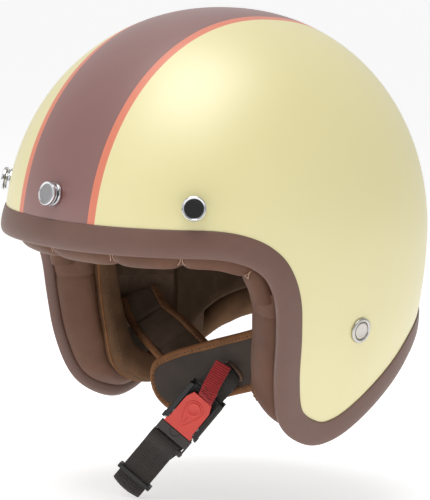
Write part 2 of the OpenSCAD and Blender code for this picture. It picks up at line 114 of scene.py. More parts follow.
def spline(points, steps):
    """A smooth line through points, with some steps to each span."""
    p = np.array(points, float)
    p = np.vstack([2 * p[0] - p[1], p, 2 * p[-1] - p[-2]])
    line = [between(p[i - 1], p[i], p[i + 1], p[i + 2], t / steps)
            for i in range(1, len(p) - 2) for t in range(steps)]
    return np.array(line + [p[-2]])


def closed_spline(points, steps):
    """A smooth loop through points."""
    p = np.array(points, float)
    n = len(p)
    return np.array([between(p[i - 1], p[i], p[(i + 1) % n], p[(i + 2) % n], t / steps)
                     for i in range(n) for t in range(steps)])


def lengths(line):
    """The distance along a line at each of its points."""
    return np.concatenate([[0], np.cumsum(np.linalg.norm(np.diff(line, axis=0), axis=1))])


def sampled(values, s, at):
    """Rows of values that are known at distances s, read at other distances."""
    return np.stack([np.interp(at, s, column) for column in values.T], -1)


half = np.array(EDGE, float)
half = np.vstack([half[1] * (-1, 1), half, (360 - half[-2][0], half[-2][1])])
half = [between(half[i - 1], half[i], half[i + 1], half[i + 2], t / EDGE_STEPS)
        for i in range(1, len(half) - 2) for t in range(EDGE_STEPS)] + [half[-2]]
RIM = np.array(half + [(360 - a, z) for a, z in half[-2:0:-1]]) * (1, MM)
COLUMNS = len(RIM)
EDGE_AT = skin(RIM[:, 0], RIM[:, 1])
EDGE_DOWN = np.cross(unit(np.roll(EDGE_AT, -1, 0) - np.roll(EDGE_AT, 1, 0)), outward(EDGE_AT))


def edge_grid(columns, past, out):
    """Points past the edge along the shell's surface, and out beyond it: one row to a column."""
    columns = np.asarray(columns, float)
    low = np.floor(columns).astype(int)
    f = (columns - low)[:, None]
    low, high = low % COLUMNS, (low + 1) % COLUMNS
    at = (EDGE_AT[low] * (1 - f) + EDGE_AT[high] * f)[:, None]
    down = (EDGE_DOWN[low] * (1 - f) + EDGE_DOWN[high] * f)[:, None]
    at = at + np.atleast_2d(past)[..., None] * down
    at = skin(angle_of(at), at[..., 2])
    return at + np.atleast_2d(out)[..., None] * outward(at)


# ---------------------------------------------------------------- meshes
def mesh_piece(name, points, faces, material, uvs=None, smooth=True):
    """An object from points and faces, with its normals made to agree."""
    data = bpy.data.meshes.new(name)
    data.from_pydata([tuple(p) for p in np.asarray(points, float).reshape(-1, 3)], [], faces)
    if uvs is not None:
        layer = data.uv_layers.new(name="UVMap")
        flat = np.asarray(uvs, float).reshape(-1, 2)
        corners = np.array([loop.vertex_index for loop in data.loops])
        layer.data.foreach_set("uv", flat[corners].astype(np.float32).ravel())
    work = bmesh.new()
    work.from_mesh(data)
    bmesh.ops.recalc_face_normals(work, faces=work.faces)
    work.to_mesh(data)
    work.free()
    data.polygons.foreach_set("use_smooth", [smooth] * len(data.polygons))
    data.materials.append(material)
    piece = bpy.data.objects.new(name, data)
    bpy.context.scene.collection.objects.link(piece)
    return piece


def ring_faces(m, n, closed=False):
    """The faces over m rings of n points, joined up or capped at both ends."""
    faces = [(i * n + j, i * n + (j + 1) % n, (i + 1) % m * n + (j + 1) % n, (i + 1) % m * n + j)
             for i in range(m if closed else m - 1) for j in range(n)]
    if not closed:
        faces += [tuple(range(n - 1, -1, -1)), tuple(range((m - 1) * n, m * n))]
    return faces


def loft(name, rings, material, closed=False, uvs=None):
    """A skin over rings of points."""
    rings = np.asarray(rings, float)
    return mesh_piece(name, rings, ring_faces(*rings.shape[:2], closed), material, uvs)


def merged(name, solids, material):
    """One object from many (points, faces) solids."""
    points, faces = [], []
    for p, f in solids:
        faces += [tuple(i + len(points) for i in face) for face in f]
        points += [tuple(v) for v in p]
    return mesh_piece(name, points, faces, material)


def tube_solid(line, radius, sides=8):
    """(points, faces) of a tube along a line; radius may change along it."""
    line = np.asarray(line, float)
    way = unit(np.gradient(line, axis=0))
    side = unit(np.cross(way, way[0] + (0.3, 0.5, 0.7)))
    up = np.cross(side, way)
    turn = np.linspace(0, 2 * np.pi, sides, endpoint=False)
    r = np.broadcast_to(radius, len(line))[:, None, None]
    rings = line[:, None] + r * (np.cos(turn)[:, None] * side[:, None]
                                 + np.sin(turn)[:, None] * up[:, None])
    return rings.reshape(-1, 3), ring_faces(len(line), sides)


def stitches(name, line, normals, material, pitch=3.2 * MM, share=0.66, radius=0.36 * MM):
    """Sewing thread along a line on a surface: short raised stitches, sunk at both ends."""
    s = lengths(line)
    t = np.linspace(0, 1, 6)
    rise = (np.sin(np.pi * t) * 1.1 - 0.3)[:, None] * radius
    solids = []
    for at in np.arange(pitch / 2, s[-1] - pitch / 2, pitch):
        q = at + (t - 0.5) * share * pitch
        solids.append(tube_solid(sampled(line, s, q) + rise * sampled(normals, s, q),
                                 radius * (0.45 + 0.55 * np.sin(np.pi * t)), 6))
    return merged(name, solids, material)


def lathe(name, profile, material, place, segments=72):
    """A turned piece about its own Z, put in place by a matrix."""
    profile = np.array(profile, float)
    turn = np.linspace(0, 2 * np.pi, segments, endpoint=False)
    rings = np.stack([profile[:, 0, None] * np.cos(turn), profile[:, 0, None] * np.sin(turn),
                      np.broadcast_to(profile[:, 1, None], (len(profile), segments))], -1)
    piece = loft(name, rings, material)
    piece.data.set_sharp_from_angle(angle=math.radians(34))
    piece.matrix_world = place
    return piece


def on_surface(angle, z):
    """The place on the shell's surface where +Z points out of it."""
    p = skin(angle, z)
    spin = Vector(outward(p)).to_track_quat("Z", "Y").to_matrix().to_4x4()
    return Matrix.Translation(Vector(p)) @ spin


def bevelled(piece, width, segments=3, angle=28):
    """Rounds the hard edges of a piece."""
    edge = piece.modifiers.new("bevel", "BEVEL")
    edge.width, edge.segments, edge.limit_method = width, segments, "ANGLE"
    edge.angle_limit = math.radians(angle)
    edge.use_clamp_overlap = True
    piece.data.polygons.foreach_set("use_smooth", [True] * len(piece.data.polygons))
    normals = piece.modifiers.new("normals", "WEIGHTED_NORMAL")
    normals.keep_sharp = True
    return piece


def settle(piece):
    """Applies a piece's modifiers."""
    graph = bpy.context.evaluated_depsgraph_get()
    graph.update()
    data = bpy.data.meshes.new_from_object(piece.evaluated_get(graph))
    piece.modifiers.clear()
    piece.data = data
    return piece


def carved(piece, add=(), cut=()):
    """Joins solids to a piece and cuts others out of it."""
    for tools, operation in ((add, "UNION"), (cut, "DIFFERENCE")):
        for tool in tools:
            step = piece.modifiers.new(operation, "BOOLEAN")
            step.object, step.operation, step.solver = tool, operation, "EXACT"
    bpy.context.view_layer.update()
    settle(piece)
    for tool in [*add, *cut]:
        bpy.data.objects.remove(tool)
    return piece


def block(low, high, material, name="block"):
    """A box between two corners, in millimetres of its own frame."""
    (a, b, c), (d, e, f) = low, high
    points = np.array([(x, y, z) for x in (a, d) for y in (b, e) for z in (c, f)]) * MM
    faces = [(0, 1, 3, 2), (4, 6, 7, 5), (0, 4, 5, 1), (2, 3, 7, 6), (0, 2, 6, 4), (1, 5, 7, 3)]
    return mesh_piece(name, points, faces, material, smooth=False)


def plate(outline, low, high, material, name="plate"):
    """An outline in millimetres across and along, between two depths."""
    n = len(outline)
    points = np.array([(x, y, z) for y in (low, high) for x, z in outline]) * MM
    faces = [tuple(range(n)), tuple(range(2 * n - 1, n - 1, -1))]
    faces += [(i, i + n, (i + 1) % n + n, (i + 1) % n) for i in range(n)]
    return mesh_piece(name, points, faces, material, smooth=False)


def rod(start, end, radius, material):
    """A round bar between two points, in millimetres of its own frame."""
    solid = tube_solid(np.array([start, end]) * MM, radius * MM, 32)
    return mesh_piece("rod", *solid, material, smooth=False)


def dress(piece, body, slot, *replaced):
    """Puts a piece on its body and hides the CAD nodes that it stands for; slot is not used."""
    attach(piece, body)
    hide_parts(*replaced)
    return piece


def mirrored(piece, name):
    """The same piece for the wearer's other side."""
    data = piece.data.copy()
    data.transform(piece.matrix_world)
    data.transform(Matrix.Scale(-1, 4, (1, 0, 0)))
    data.flip_normals()
    other = bpy.data.objects.new(name, data)
    bpy.context.scene.collection.objects.link(other)
    for old in piece.modifiers:
        new = other.modifiers.new(old.name, old.type)
        new.levels, new.render_levels = old.levels, old.render_levels
    return other


# ---------------------------------------------------------------- materials
class Nodes:
    """Short ways to build a material's nodes."""

    def __init__(self, name, roughness, **values):
        self.material = bpy.data.materials.new(name)
        self.material.use_nodes = True
        self.tree = self.material.node_tree
        self.shader = self.tree.nodes["Principled BSDF"]
        self.shader.inputs["Roughness"].default_value = roughness
        for key, value in values.items():
            self.shader.inputs[key.replace("_", " ")].default_value = value

    def feed(self, socket, value):
        """Links a socket to another node's output, or sets its value."""
        if isinstance(value, bpy.types.NodeSocket):
            self.tree.links.new(value, socket)
        else:
            socket.default_value = value

    def add(self, kind, inputs=None, **settings):
        node = self.tree.nodes.new("ShaderNode" + kind)
        for key, value in settings.items():
            setattr(node, key, value)
        for key, value in (inputs or {}).items():
            self.feed(node.inputs[key], value)
        return node

    def place(self):
        return self.add("TexCoord").outputs["Object"]

    def across(self):
        return self.add("TexCoord").outputs["UV"]

    def stretched(self, vector, scale):
        return self.add("Mapping", {"Vector": vector, "Scale": scale}).outputs["Vector"]

    def noise(self, vector, scale, detail=4.0, rough=0.55):
        return self.add("TexNoise", {"Vector": vector, "Scale": scale, "Detail": detail,
                                               "Roughness": rough}).outputs["Fac"]

    def cells(self, vector, scale, feature="F1"):
        return self.add("TexVoronoi", {"Vector": vector, "Scale": scale},
                        feature=feature).outputs["Distance"]

    def maths(self, operation, a, b=0.5, c=0.0):
        return self.add("Math", {0: a, 1: b, 2: c}, operation=operation).outputs[0]

    def ramp(self, value, low, high):
        """Black up to one value and white from another."""
        node = self.add("ValToRGB", {"Fac": value})
        for element, at in zip(node.color_ramp.elements, (low, high)):
            element.position = at
        return node.outputs["Color"]

    def between(self, value, low, high):
        return self.add("MapRange", {"Value": value, "To Min": low, "To Max": high}).outputs[0]

    def mix(self, fac, a, b):
        node = self.add("Mix", {"Factor": fac}, data_type="RGBA")
        self.feed(node.inputs[6], a)
        self.feed(node.inputs[7], b)
        return node.outputs[2]

    def bump(self, height, distance, strength=1.0, after=None):
        inputs = {"Height": height, "Distance": distance, "Strength": strength}
        if after is not None:
            inputs["Normal"] = after
        return self.add("Bump", inputs).outputs["Normal"]

    def done(self, colour=None, roughness=None, normal=None):
        for key, value in (("Base Color", colour), ("Roughness", roughness), ("Normal", normal)):
            if value is not None:
                self.feed(self.shader.inputs[key], value)
        return self.material


def shade(colour, factor):
    return tuple(min(1.0, c * factor) for c in colour[:3]) + (1.0,)


def shell_paint():
    """Satin cream with a brown stripe over the crown, edged by two orange pinstripes."""
    stripe, pinstripe, soft = 31.7 * MM, 37.1 * MM, 0.15 * MM
    n = Nodes("shell_paint", 0.48, Specular_IOR_Level=0.9, Coat_Weight=1.0, Coat_Roughness=0.46,
              Coat_IOR=1.8)
    place = n.place()
    x = n.add("SeparateXYZ", {"Vector": place}).outputs["X"]
    x = n.maths("ABSOLUTE", x)
    mottle = n.noise(place, 9, 3)
    cream = n.mix(mottle, srgb(233, 223, 164), srgb(226, 215, 152))
    brown = n.mix(mottle, srgb(127, 71, 64), srgb(117, 63, 56))
    orange = n.mix(mottle, srgb(224, 112, 70), srgb(216, 103, 62))
    past_stripe, past_pin = (
        n.add("MapRange", {"Value": x, "From Min": edge - soft, "From Max": edge + soft})
        .outputs[0] for edge in (stripe, pinstripe))
    colour = n.mix(past_pin, n.mix(past_stripe, brown, orange), cream)
    peel = n.bump(n.noise(place, 700, 2), 0.02 * MM, 0.35)
    step = n.maths("SUBTRACT", past_stripe, past_pin)
    return n.done(colour, n.between(mottle, 0.44, 0.52), n.bump(step, 0.06 * MM, 0.6, peel))


def vinyl(name, colour, light):
    """Smooth satin vinyl with a very fine grain and faint handling marks."""
    n = Nodes(name, 0.45)
    place = n.place()
    worn = n.noise(n.stretched(place, (1, 1, 1.6)), 55, 5)
    grain = n.cells(place, 2600)
    colour = n.mix(worn, colour, light)
    return n.done(colour, n.between(worn, 0.38, 0.52), n.bump(grain, 0.03 * MM, 0.5))


def leather(name, colour, light, scale=1500, creases=0.25):
    """Synthetic leather: a pebbled grain, soft creases and a lighter worn face."""
    n = Nodes(name, 0.5, Specular_IOR_Level=0.26)
    place = n.place()
    pebbles = n.cells(place, scale, "DISTANCE_TO_EDGE")
    soft = n.noise(place, 45, 5, 0.6)
    crease = n.noise(n.stretched(place, (1, 1, 2.5)), 120, 6, 0.7)
    colour = n.mix(n.ramp(soft, 0.32, 0.7), colour, light)
    colour = n.mix(n.between(pebbles, 0.35, 0.0), colour, shade(light, 0.6))
    normal = n.bump(n.ramp(pebbles, 0.0, 0.16), 0.06 * MM, 0.55)
    normal = n.bump(crease, 0.6 * MM, creases, normal)
    return n.done(colour, n.between(soft, 0.42, 0.6), normal)


def suede(name, colour, light, nap=0.35):
    """Brushed cloth: a short nap that lies lighter and darker in patches."""
    n = Nodes(name, 0.95, Sheen_Weight=nap, Sheen_Roughness=0.45, Sheen_Tint=light,
              Specular_IOR_Level=0.15)
    place = n.place()
    brushed = n.noise(n.stretched(place, (1, 1.4, 0.8)), 70, 6, 0.65)
    fibres = n.noise(n.stretched(place, (1, 1, 0.45)), 2600, 3, 0.7)
    patch = n.ramp(brushed, 0.35, 0.68)
    colour = n.mix(patch, colour, light)
    colour = n.mix(n.between(fibres, 0.0, 0.5), colour, shade(light, 0.45))
    return n.done(colour, None, n.bump(fibres, 0.12 * MM, 0.8, n.bump(brushed, 0.5 * MM, 0.3)))


def webbing(name, colour, light, pitch):
    """Woven tape: warp threads along it, ribs across it. UV is across and along, in metres."""
    threads = 0.55 * MM
    n = Nodes(name, 0.75, Sheen_Weight=0.25, Sheen_Roughness=0.4, Specular_IOR_Level=0.3)
    uv = n.add("SeparateXYZ", {"Vector": n.across()})
    u, v = uv.outputs["X"], uv.outputs["Y"]
    lean = n.maths("PINGPONG", u, 3.2 * MM)
    rib = n.maths("SINE", n.maths("MULTIPLY", n.maths("ADD", v, n.maths("MULTIPLY", lean, 0.25)),
                                  2 * math.pi / pitch))
    warp = n.maths("SINE", n.maths("MULTIPLY", u, 2 * math.pi / threads))
    weave = n.maths("MULTIPLY_ADD", rib, 0.6, n.maths("MULTIPLY", warp, 0.4))
    fuzz = n.noise(n.place(), 1800, 3)
    tone = n.maths("MULTIPLY_ADD", weave, 0.3, fuzz)
    return n.done(n.mix(n.between(tone, 0.0, 0.85), colour, light), None,
                  n.bump(weave, 0.16 * MM, 0.8, n.bump(fuzz, 0.06 * MM, 0.5)))


def moulded(name, colour, light, roughness):
    """Moulded plastic with a fine spark grain and rubbed, slightly glossier places."""
    n = Nodes(name, roughness)
    place = n.place()
    rubbed = n.noise(place, 110, 5, 0.6)
    fine = n.noise(place, 2400, 2)
    return n.done(n.mix(rubbed, colour, light), n.between(rubbed, roughness - 0.1, roughness + 0.12),
                  n.bump(fine, 0.04 * MM, 0.35))


def metal(name, colour, roughness, brushed=(1, 1, 1)):
    """Plated metal; brushed stretches the marks along one way."""
    n = Nodes(name, roughness, Metallic=1.0)
    place = n.place()
    lines = n.noise(n.stretched(place, brushed), 1400, 4, 0.6)
    cloud = n.noise(place, 160, 3)
    return n.done(n.mix(cloud, colour, shade(colour, 0.86)),
                  n.between(lines, max(0.03, roughness - 0.1), roughness + 0.1),
                  n.bump(lines, 0.02 * MM, 0.3))


def turned(name, colour, roughness):
    """Metal with circular lathe marks about its own Z."""
    n = Nodes(name, roughness, Metallic=1.0)
    place = n.place()
    xyz = n.add("SeparateXYZ", {"Vector": place})
    x2 = n.maths("POWER", xyz.outputs["X"], 2.0)
    r = n.maths("SQRT", n.maths("MULTIPLY_ADD", xyz.outputs["Y"], xyz.outputs["Y"], x2))
    rings = n.noise(n.add("CombineXYZ", {"X": r}).outputs[0], 4200, 4, 0.7)
    cloud = n.noise(place, 300, 3)
    return n.done(n.mix(cloud, colour, shade(colour, 0.82)),
                  n.between(rings, roughness - 0.08, roughness + 0.14), n.bump(rings, 0.03 * MM, 0.5))


def foam_beads(name, colour, light):
    """Expanded foam: pressed beads."""
    n = Nodes(name, 0.85)
    beads = n.cells(n.place(), 330)
    return n.done(n.mix(n.between(beads, 0.0, 1.6), light, colour), None, n.bump(beads, -0.5 * MM, 0.8))


def thread(name, colour):
    n = Nodes(name, 0.7, Sheen_Weight=0.3)
    twist = n.noise(n.place(), 3000, 2)
    return n.done(n.mix(twist, colour, shade(colour, 0.7)), None, n.bump(twist, 0.05 * MM, 0.6))


PAINT = shell_paint()
SHELL_INSIDE = moulded("shell_inside", srgb(38, 36, 33), srgb(48, 45, 42), 0.8)
TRIM = vinyl("edge_vinyl", srgb(106, 77, 67), srgb(116, 86, 75))
FOAM = foam_beads("eps_foam", srgb(34, 34, 35), srgb(52, 52, 53))
LINING = suede("lining_suede", srgb(76, 60, 47), srgb(94, 74, 58), 0.2)
# The skirt's suede is the lining's cloth with its colour lightened: painted light against the shade the
# skirt hangs in.
SKIRT_PAINTED_LIGHT = suede("skirt_suede_painted_light", srgb(112, 92, 76), srgb(134, 110, 91), 0.25)
ROLL = leather("roll_leather", srgb(95, 63, 47), srgb(116, 79, 60))
SUEDE = suede("pad_suede", srgb(98, 73, 54), srgb(124, 93, 68), 0.3)
EAR = suede("ear_cloth", srgb(64, 54, 46), srgb(80, 68, 58), 0.15)
PANEL = leather("pad_leather", srgb(56, 46, 39), srgb(76, 63, 54), 1900, 0.15)
PANEL_SUEDE = suede("pad_panel_suede", srgb(90, 74, 62), srgb(112, 93, 78), 0.2)
BINDING = suede("binding_suede", srgb(126, 86, 57), srgb(156, 108, 73), 0.35)
CHROME = turned("stud_chrome", srgb(226, 226, 228), 0.1)
WASHER = turned("washer_steel", srgb(206, 203, 198), 0.3)
STEEL = metal("bright_steel", srgb(196, 196, 198), 0.24)
ANCHOR = turned("anchor_steel", srgb(206, 201, 194), 0.3)
PLATE = metal("plate_steel", srgb(150, 150, 152), 0.4, (1, 6, 1))
WEBBING = webbing("webbing_nylon", srgb(46, 43, 41), srgb(80, 75, 71), 1.6 * MM)
RED_TAPE = webbing("tab_red", srgb(136, 34, 38), srgb(196, 62, 62), 1.45 * MM)
BLACK = moulded("buckle_black", srgb(30, 29, 29), srgb(44, 42, 41), 0.4)
TONGUE_BLACK = moulded("tongue_black", srgb(50, 46, 44), srgb(68, 63, 60), 0.45)
RED = moulded("lever_red", srgb(222, 68, 58), srgb(232, 82, 70), 0.38)
SPRING = metal("spring_steel", srgb(150, 150, 150), 0.3)
TAN_THREAD = thread("tan_thread", srgb(196, 160, 132))
BROWN_THREAD = thread("brown_thread", srgb(108, 74, 49))
BLACK_THREAD = thread("black_thread", srgb(40, 38, 36))
RED_THREAD = thread("red_thread", srgb(110, 24, 28))


# ---------------------------------------------------------------- shell, trim and liners
def latitude(z, k):
    limit = np.where(z > 0, CROWN, LOWER) - k
    return np.sign(z) * np.arcsin(np.minimum(1, (np.abs(z) / limit) ** (SIDE_POWER / 2)))


def bowl_rows(rim, k, rows, bulge=None):
    """Rows of points at depth k, from a rim up to just short of the crown."""
    t0 = latitude(rim[:, 1], k)
    out = []
    for j in range(rows + 1):
        t = t0 + (np.pi / 2 - t0) * min(j / rows, NEAR_CROWN)
        limit = np.where(t > 0, CROWN, LOWER) - k
        z = rim[:, 1] if j == 0 else limit * power(np.sin(t), 2 / SIDE_POWER)
        out.append(skin(rim[:, 0], z, k if bulge is None else k + bulge(rim[:, 0], t)))
    return np.array(out)


def bowl(name, rim, k_out, k_in, rows, material, bulge=None, lip=0.0):
    """A bowl between two depths, with a rounded lip along its rim."""
    outer = bowl_rows(rim, k_out, rows)
    inner = bowl_rows(rim, k_in, rows, bulge)
    turn = np.linspace(0, np.pi, 6)[1:-1, None, None]
    middle, half = (outer[0] + inner[0]) / 2, (outer[0] - inner[0]) / 2
    lips = middle + np.cos(turn) * half + np.sin(turn) * np.array([0, 0, -lip])
    return loft(name, np.concatenate([inner[::-1], lips[::-1], outer]), material)


shell = bowl("helmet_shell", RIM, 0.0, WALL, 64, PAINT)
shell.data.materials.append(SHELL_INSIDE)
centres = np.zeros(len(shell.data.polygons) * 3)
shell.data.polygons.foreach_get("center", centres)
centres = centres.reshape(-1, 3)
facing = np.zeros(len(centres) * 3)
shell.data.polygons.foreach_get("normal", facing)
inside = (facing.reshape(-1, 3) * outward(centres)).sum(1) < 0.3
shell.data.polygons.foreach_set("material_index", inside.astype(int))
dress(shell, "helmet", "shell_paint", "outer_shell")

COVER, LIP, BULGE, GAP = 13 * MM, 4 * MM, 2.8 * MM, 0.3 * MM
turn = np.linspace(0, np.pi, 19)
swell = GAP + BULGE * np.sin(turn) ** 0.85 * (0.66 + 0.34 * np.cos(turn))
profile = np.concatenate([
    np.array([[0.3, 0.3], [0.3, -3.5], [-7, -3.5], [-6.6, -5.4], [-6, -6.2], [-3, -6.45], [0, -6.4],
              [1.6, -5.8], [2.8, -4.6], [3.6, -3.2], [3.9, -1.6]]) * MM,
    np.stack([(LIP - COVER) / 2 + (LIP + COVER) / 2 * np.cos(turn), swell], -1)])
stations = np.arange(0, COLUMNS, 0.5)
ripple = 1 + 0.012 * np.sin(stations * 0.9) * np.sin(stations * 0.37 + 1)
joint = 1 - 0.12 * np.exp(-((stations - COLUMNS / 2) / 0.4) ** 2)
trim = loft("edge_trim_bead", edge_grid(stations, profile[:, 0],
                                        np.where(profile[:, 1] > GAP, 1, 0) * profile[:, 1]
                                        * (ripple * joint)[:, None]
                                        + np.where(profile[:, 1] > GAP, 0, 1) * profile[:, 1]),
            TRIM, closed=True)
dress(trim, "helmet", "edge_vinyl", "edge_trim")


def liner_rim(inset, lift):
    """The liner's lower edge: inside the shell's edge, but above the cheeks and the strap's room."""
    p = edge_grid(np.arange(COLUMNS), -inset, 0)[:, 0]
    a = angle_of(p)
    z = np.where(np.abs(a) < 112, np.maximum(p[:, 2], (-34 * MM) + lift), p[:, 2])
    return np.stack([a, z], -1)


liner = bowl("energy_liner", liner_rim(12 * MM, 0), 5.4 * MM, 29.4 * MM, 26, FOAM, lip=1.5 * MM)
dress(liner, "helmet", "eps_foam", "eps_liner")


def quilting(angle, t):
    """Extra thickness of the crown lining between its seams."""
    a = np.abs((angle + 30) % 60 - 30)
    across = np.radians(30 - a) * 100 * np.maximum(np.cos(t), 0.05)
    rows = np.abs(np.degrees(t)[..., None] - np.array([38, 66])).min(-1) * 1.6
    puff = (1 - np.exp(-across / 5)) * (1 - np.exp(-rows / 5))
    return 3.2 * MM * np.clip(puff, 0, 1)


crown = bowl("crown_lining", liner_rim(9 * MM, -2 * MM), 29.6 * MM, 34.6 * MM, 60, LINING, quilting,
             2.5 * MM)
dress(crown, "helmet", "lining_suede", "crown_liner")


# ---------------------------------------------------------------- soft pieces
CLOTH_STEPS, CLOTH_PRESSURE, CLOTH_MASS = 20, 4.0, 0.15


def swollen(piece, cap, pinned):
    """Swells a padded piece by cloth simulation, with its seams held and each point kept near."""
    old = np.array([v.co for v in piece.data.vertices])
    cloth = piece.modifiers.new("cloth", "CLOTH")
    set_up = cloth.settings
    set_up.quality, set_up.mass = 5, CLOTH_MASS
    set_up.use_pressure, set_up.uniform_pressure_force = True, CLOTH_PRESSURE
    set_up.effector_weights.gravity = 0
    cloth.collision_settings.use_collision = False
    group = piece.vertex_groups.new(name="sewn")
    for i, weight in enumerate(pinned):
        if weight > 0:
            group.add([i], float(weight), "REPLACE")
    set_up.vertex_group_mass = "sewn"
    for step in range(1, CLOTH_STEPS + 1):
        bpy.context.scene.frame_set(step)
    graph = bpy.context.evaluated_depsgraph_get()
    moved = piece.evaluated_get(graph).data
    new = np.array([v.co for v in moved.vertices])
    shift = new - old
    size = np.linalg.norm(shift, axis=1, keepdims=True)
    new = old + shift * np.minimum(1, cap / np.maximum(size, 1e-9))
    piece.modifiers.clear()
    piece.vertex_groups.clear()
    piece.data.vertices.foreach_set("co", new.astype(np.float32).ravel())
    piece.data.update()
    bpy.context.scene.frame_set(1)
    finer = piece.modifiers.new("finer", "SUBSURF")
    finer.levels = finer.render_levels = 1
    return piece


def sewn(name, piece, line, material, *sizes):
    """A row of stitches on a piece, at the nearest places to a line."""
    return stitches(name, *on_piece(piece, line), material, *sizes)


def raised_thread(piece, line, height, turn_in, radius):
    """(points, faces) of one thread over a piece's surface, sunk at both ends."""
    line, normals = on_piece(piece, line)
    rise = height * np.sin(np.linspace(turn_in, np.pi - turn_in, len(line)))[:, None]
    return tube_solid(line + normals * rise, radius, 6)


def ends_held(rings, sides):
    """Weights that hold a roll's two rings at each end."""
    ring = np.arange(rings)
    return np.repeat(np.minimum(ring, rings - 1 - ring) < 2, sides).astype(float)


def on_piece(piece, line):
    """The nearest points of a piece's surface to a line's, and the directions square to it."""
    graph = bpy.context.evaluated_depsgraph_get()
    tree = BVHTree.FromObject(piece, graph)
    hits = [tree.find_nearest(Vector(p)) for p in line]
    return np.array([h[0] for h in hits]), np.array([h[1] for h in hits])


def roll(name, first, last, past, depth, half_height, half_depth, taper, material, shape, rings, sides,
         squareness=1.0):
    """A stuffed roll along the shell's edge, between two columns, thinner at its ends."""
    at = np.linspace(first, last, rings)
    end = np.minimum(at - first, last - at) / EDGE_STEPS * 2
    size = np.where(end >= taper, 1, np.sqrt((end + 0.6) / (taper + 0.6))) if taper else np.ones(rings)
    turn = np.linspace(0, 2 * np.pi, sides, endpoint=False)
    across, inward = power(np.cos(turn), squareness), power(np.sin(turn), squareness)
    size = size[:, None] * np.ones(sides)
    if shape is not None:
        size = size * shape(at, turn)
    past, depth, half_height, half_depth = (np.reshape(v * np.ones(rings), (-1, 1))
                                            for v in (past, depth, half_height, half_depth))
    grid = edge_grid(at, past + size * half_height * across, -depth + size * half_depth * inward)
    return loft(name, grid, material)


def edge_run(at):
    """Distance along the edge at fractional columns, from the front."""
    line = np.vstack([EDGE_AT, EDGE_AT[:1]])
    at = np.asarray(at, float)
    return np.sign(at) * np.interp(np.abs(at), np.arange(COLUMNS + 1), lengths(line))


def column_at(angle):
    """Where along the edge an angle from the front falls; less than nothing on the right."""
    return np.sign(angle) * np.interp(abs(angle), RIM[:COLUMNS // 2 + 1, 0], np.arange(COLUMNS // 2 + 1))


PINCHES = [column_at(a) for a in (-52, -28, -5, 18, 38.5, 59.6)]
pinch_runs = edge_run(PINCHES)


def scallops(at, turn):
    """The brow roll is drawn in where it is tacked, and full between those places."""
    gap = edge_run(at)[:, None] - pinch_runs[None]
    near = np.abs(gap).min(1)
    full = 1 - (1 - np.minimum(1, near / (15 * MM))) ** 2.2
    drawn = 0.62 + 0.38 * np.sqrt(full)
    lower = np.clip(0.5 + 0.6 * np.cos(turn - 0.55), 0, 1)
    folds = 0.035 * np.sin(near / (1.15 * MM)) * np.exp(-near / (5 * MM))
    return 1 - (1 - drawn[:, None] + folds[:, None]) * (0.15 + 0.85 * lower[None])


LAST = column_at(66.6)
rings, sides = 300, 30
brow_at = np.linspace(-LAST, LAST, rings)
brow_angle = np.interp(np.abs(brow_at), np.arange(COLUMNS // 2 + 1), RIM[:COLUMNS // 2 + 1, 0])
slim = np.clip((brow_angle - 34) / 24, 0, 1)
brow = roll("brow_roll_leather", -LAST, LAST, 3.5 * MM, (21 - 2.8 * slim) * MM,
            (10.2 - 1.4 * slim) * MM, (13.2 - 2.8 * slim) * MM, 0, ROLL, scallops, rings, sides)
ring_of = np.repeat(edge_run(brow_at), sides)
held = np.exp(-(np.abs(ring_of[:, None] - pinch_runs[None]).min(1) / (2.2 * MM)) ** 2)
swollen(brow, 1.6 * MM, np.maximum(held, ends_held(rings, sides)))
dress(brow, "helmet", "roll_leather", "brow_roll")

first = column_at(115)
rings, sides = 220, 26
neck = roll("neck_roll_cloth", first, COLUMNS - first, 4 * MM, 20 * MM, 12.6 * MM, 12.6 * MM, 3, SUEDE,
            None, rings, sides)
swollen(neck, 1.4 * MM, ends_held(rings, sides))
dress(neck, "helmet", "pad_suede", "neck_roll")


def pleats(at, turn):
    """A cheek bolster has one small pleat, and shallow folds round its lower bend."""
    run = edge_run(at)[:, None]
    pleat = run - edge_run(column_at(67.4))
    bend = edge_run(column_at(76))
    folds = 0.012 * np.sin((run - bend) / (3.4 * MM)) * np.exp(-((run - bend) / (22 * MM)) ** 2)
    return 1 - 0.06 * np.exp(-np.abs(pleat) / (2.2 * MM)) + folds * (0.5 + 0.5 * np.cos(turn - 1))[None]


rings, sides = 150, 28
share = np.linspace(0, 1, rings)
fat = np.interp(share, (0, 0.45, 0.75, 1), (15.6, 14.6, 10, 7))
bolster = roll("cheek_bolster_near", column_at(65.6), column_at(94),
               np.interp(share, (0, 0.6, 0.8, 1), (-1, -1.4, -4.5, -7)) * MM, (fat + 6.4) * MM,
               np.interp(share, (0, 0.4, 0.6, 1), (8.8, 8, 6.8, 5)) * MM, fat * MM, 0, ROLL, pleats,
               rings, sides, 0.85)
swollen(bolster, 1.0 * MM, ends_held(rings, sides))
other = mirrored(bolster, "cheek_bolster_far")
for piece, side in ((bolster, "left"), (other, "right")):
    dress(piece, "helmet", "roll_leather", "cheek_bolster_" + side)


def cushion(name, outline, k_back, k_side, k_face, centre, material, steps=8, rings=14, rim=0.8):
    """A pad over a patch of the inside: flat towards the shell, crowned towards the head."""
    line = closed_spline(outline, steps)
    centre = np.array(centre, float)

    def loop(r, k):
        p = centre + r * (line - centre)
        return skin(p[:, 0], p[:, 1] * MM, k * MM)

    rows = [loop(r, k_side + (k_face - k_side) * (1 - r ** 3) ** 0.8)
            for r in np.linspace(0.04, 1, rings) ** 0.8]
    turn = np.linspace(0, np.pi, 7)[1:-1]
    rows += [loop(1 + rim * 0.02 * np.sin(t), k_side + (k_back - k_side) * (1 - np.cos(t)) / 2)
             for t in turn]
    rows += [loop(r, k_back) for r in (1, 0.6, 0.1)]
    return loft(name, rows, material)


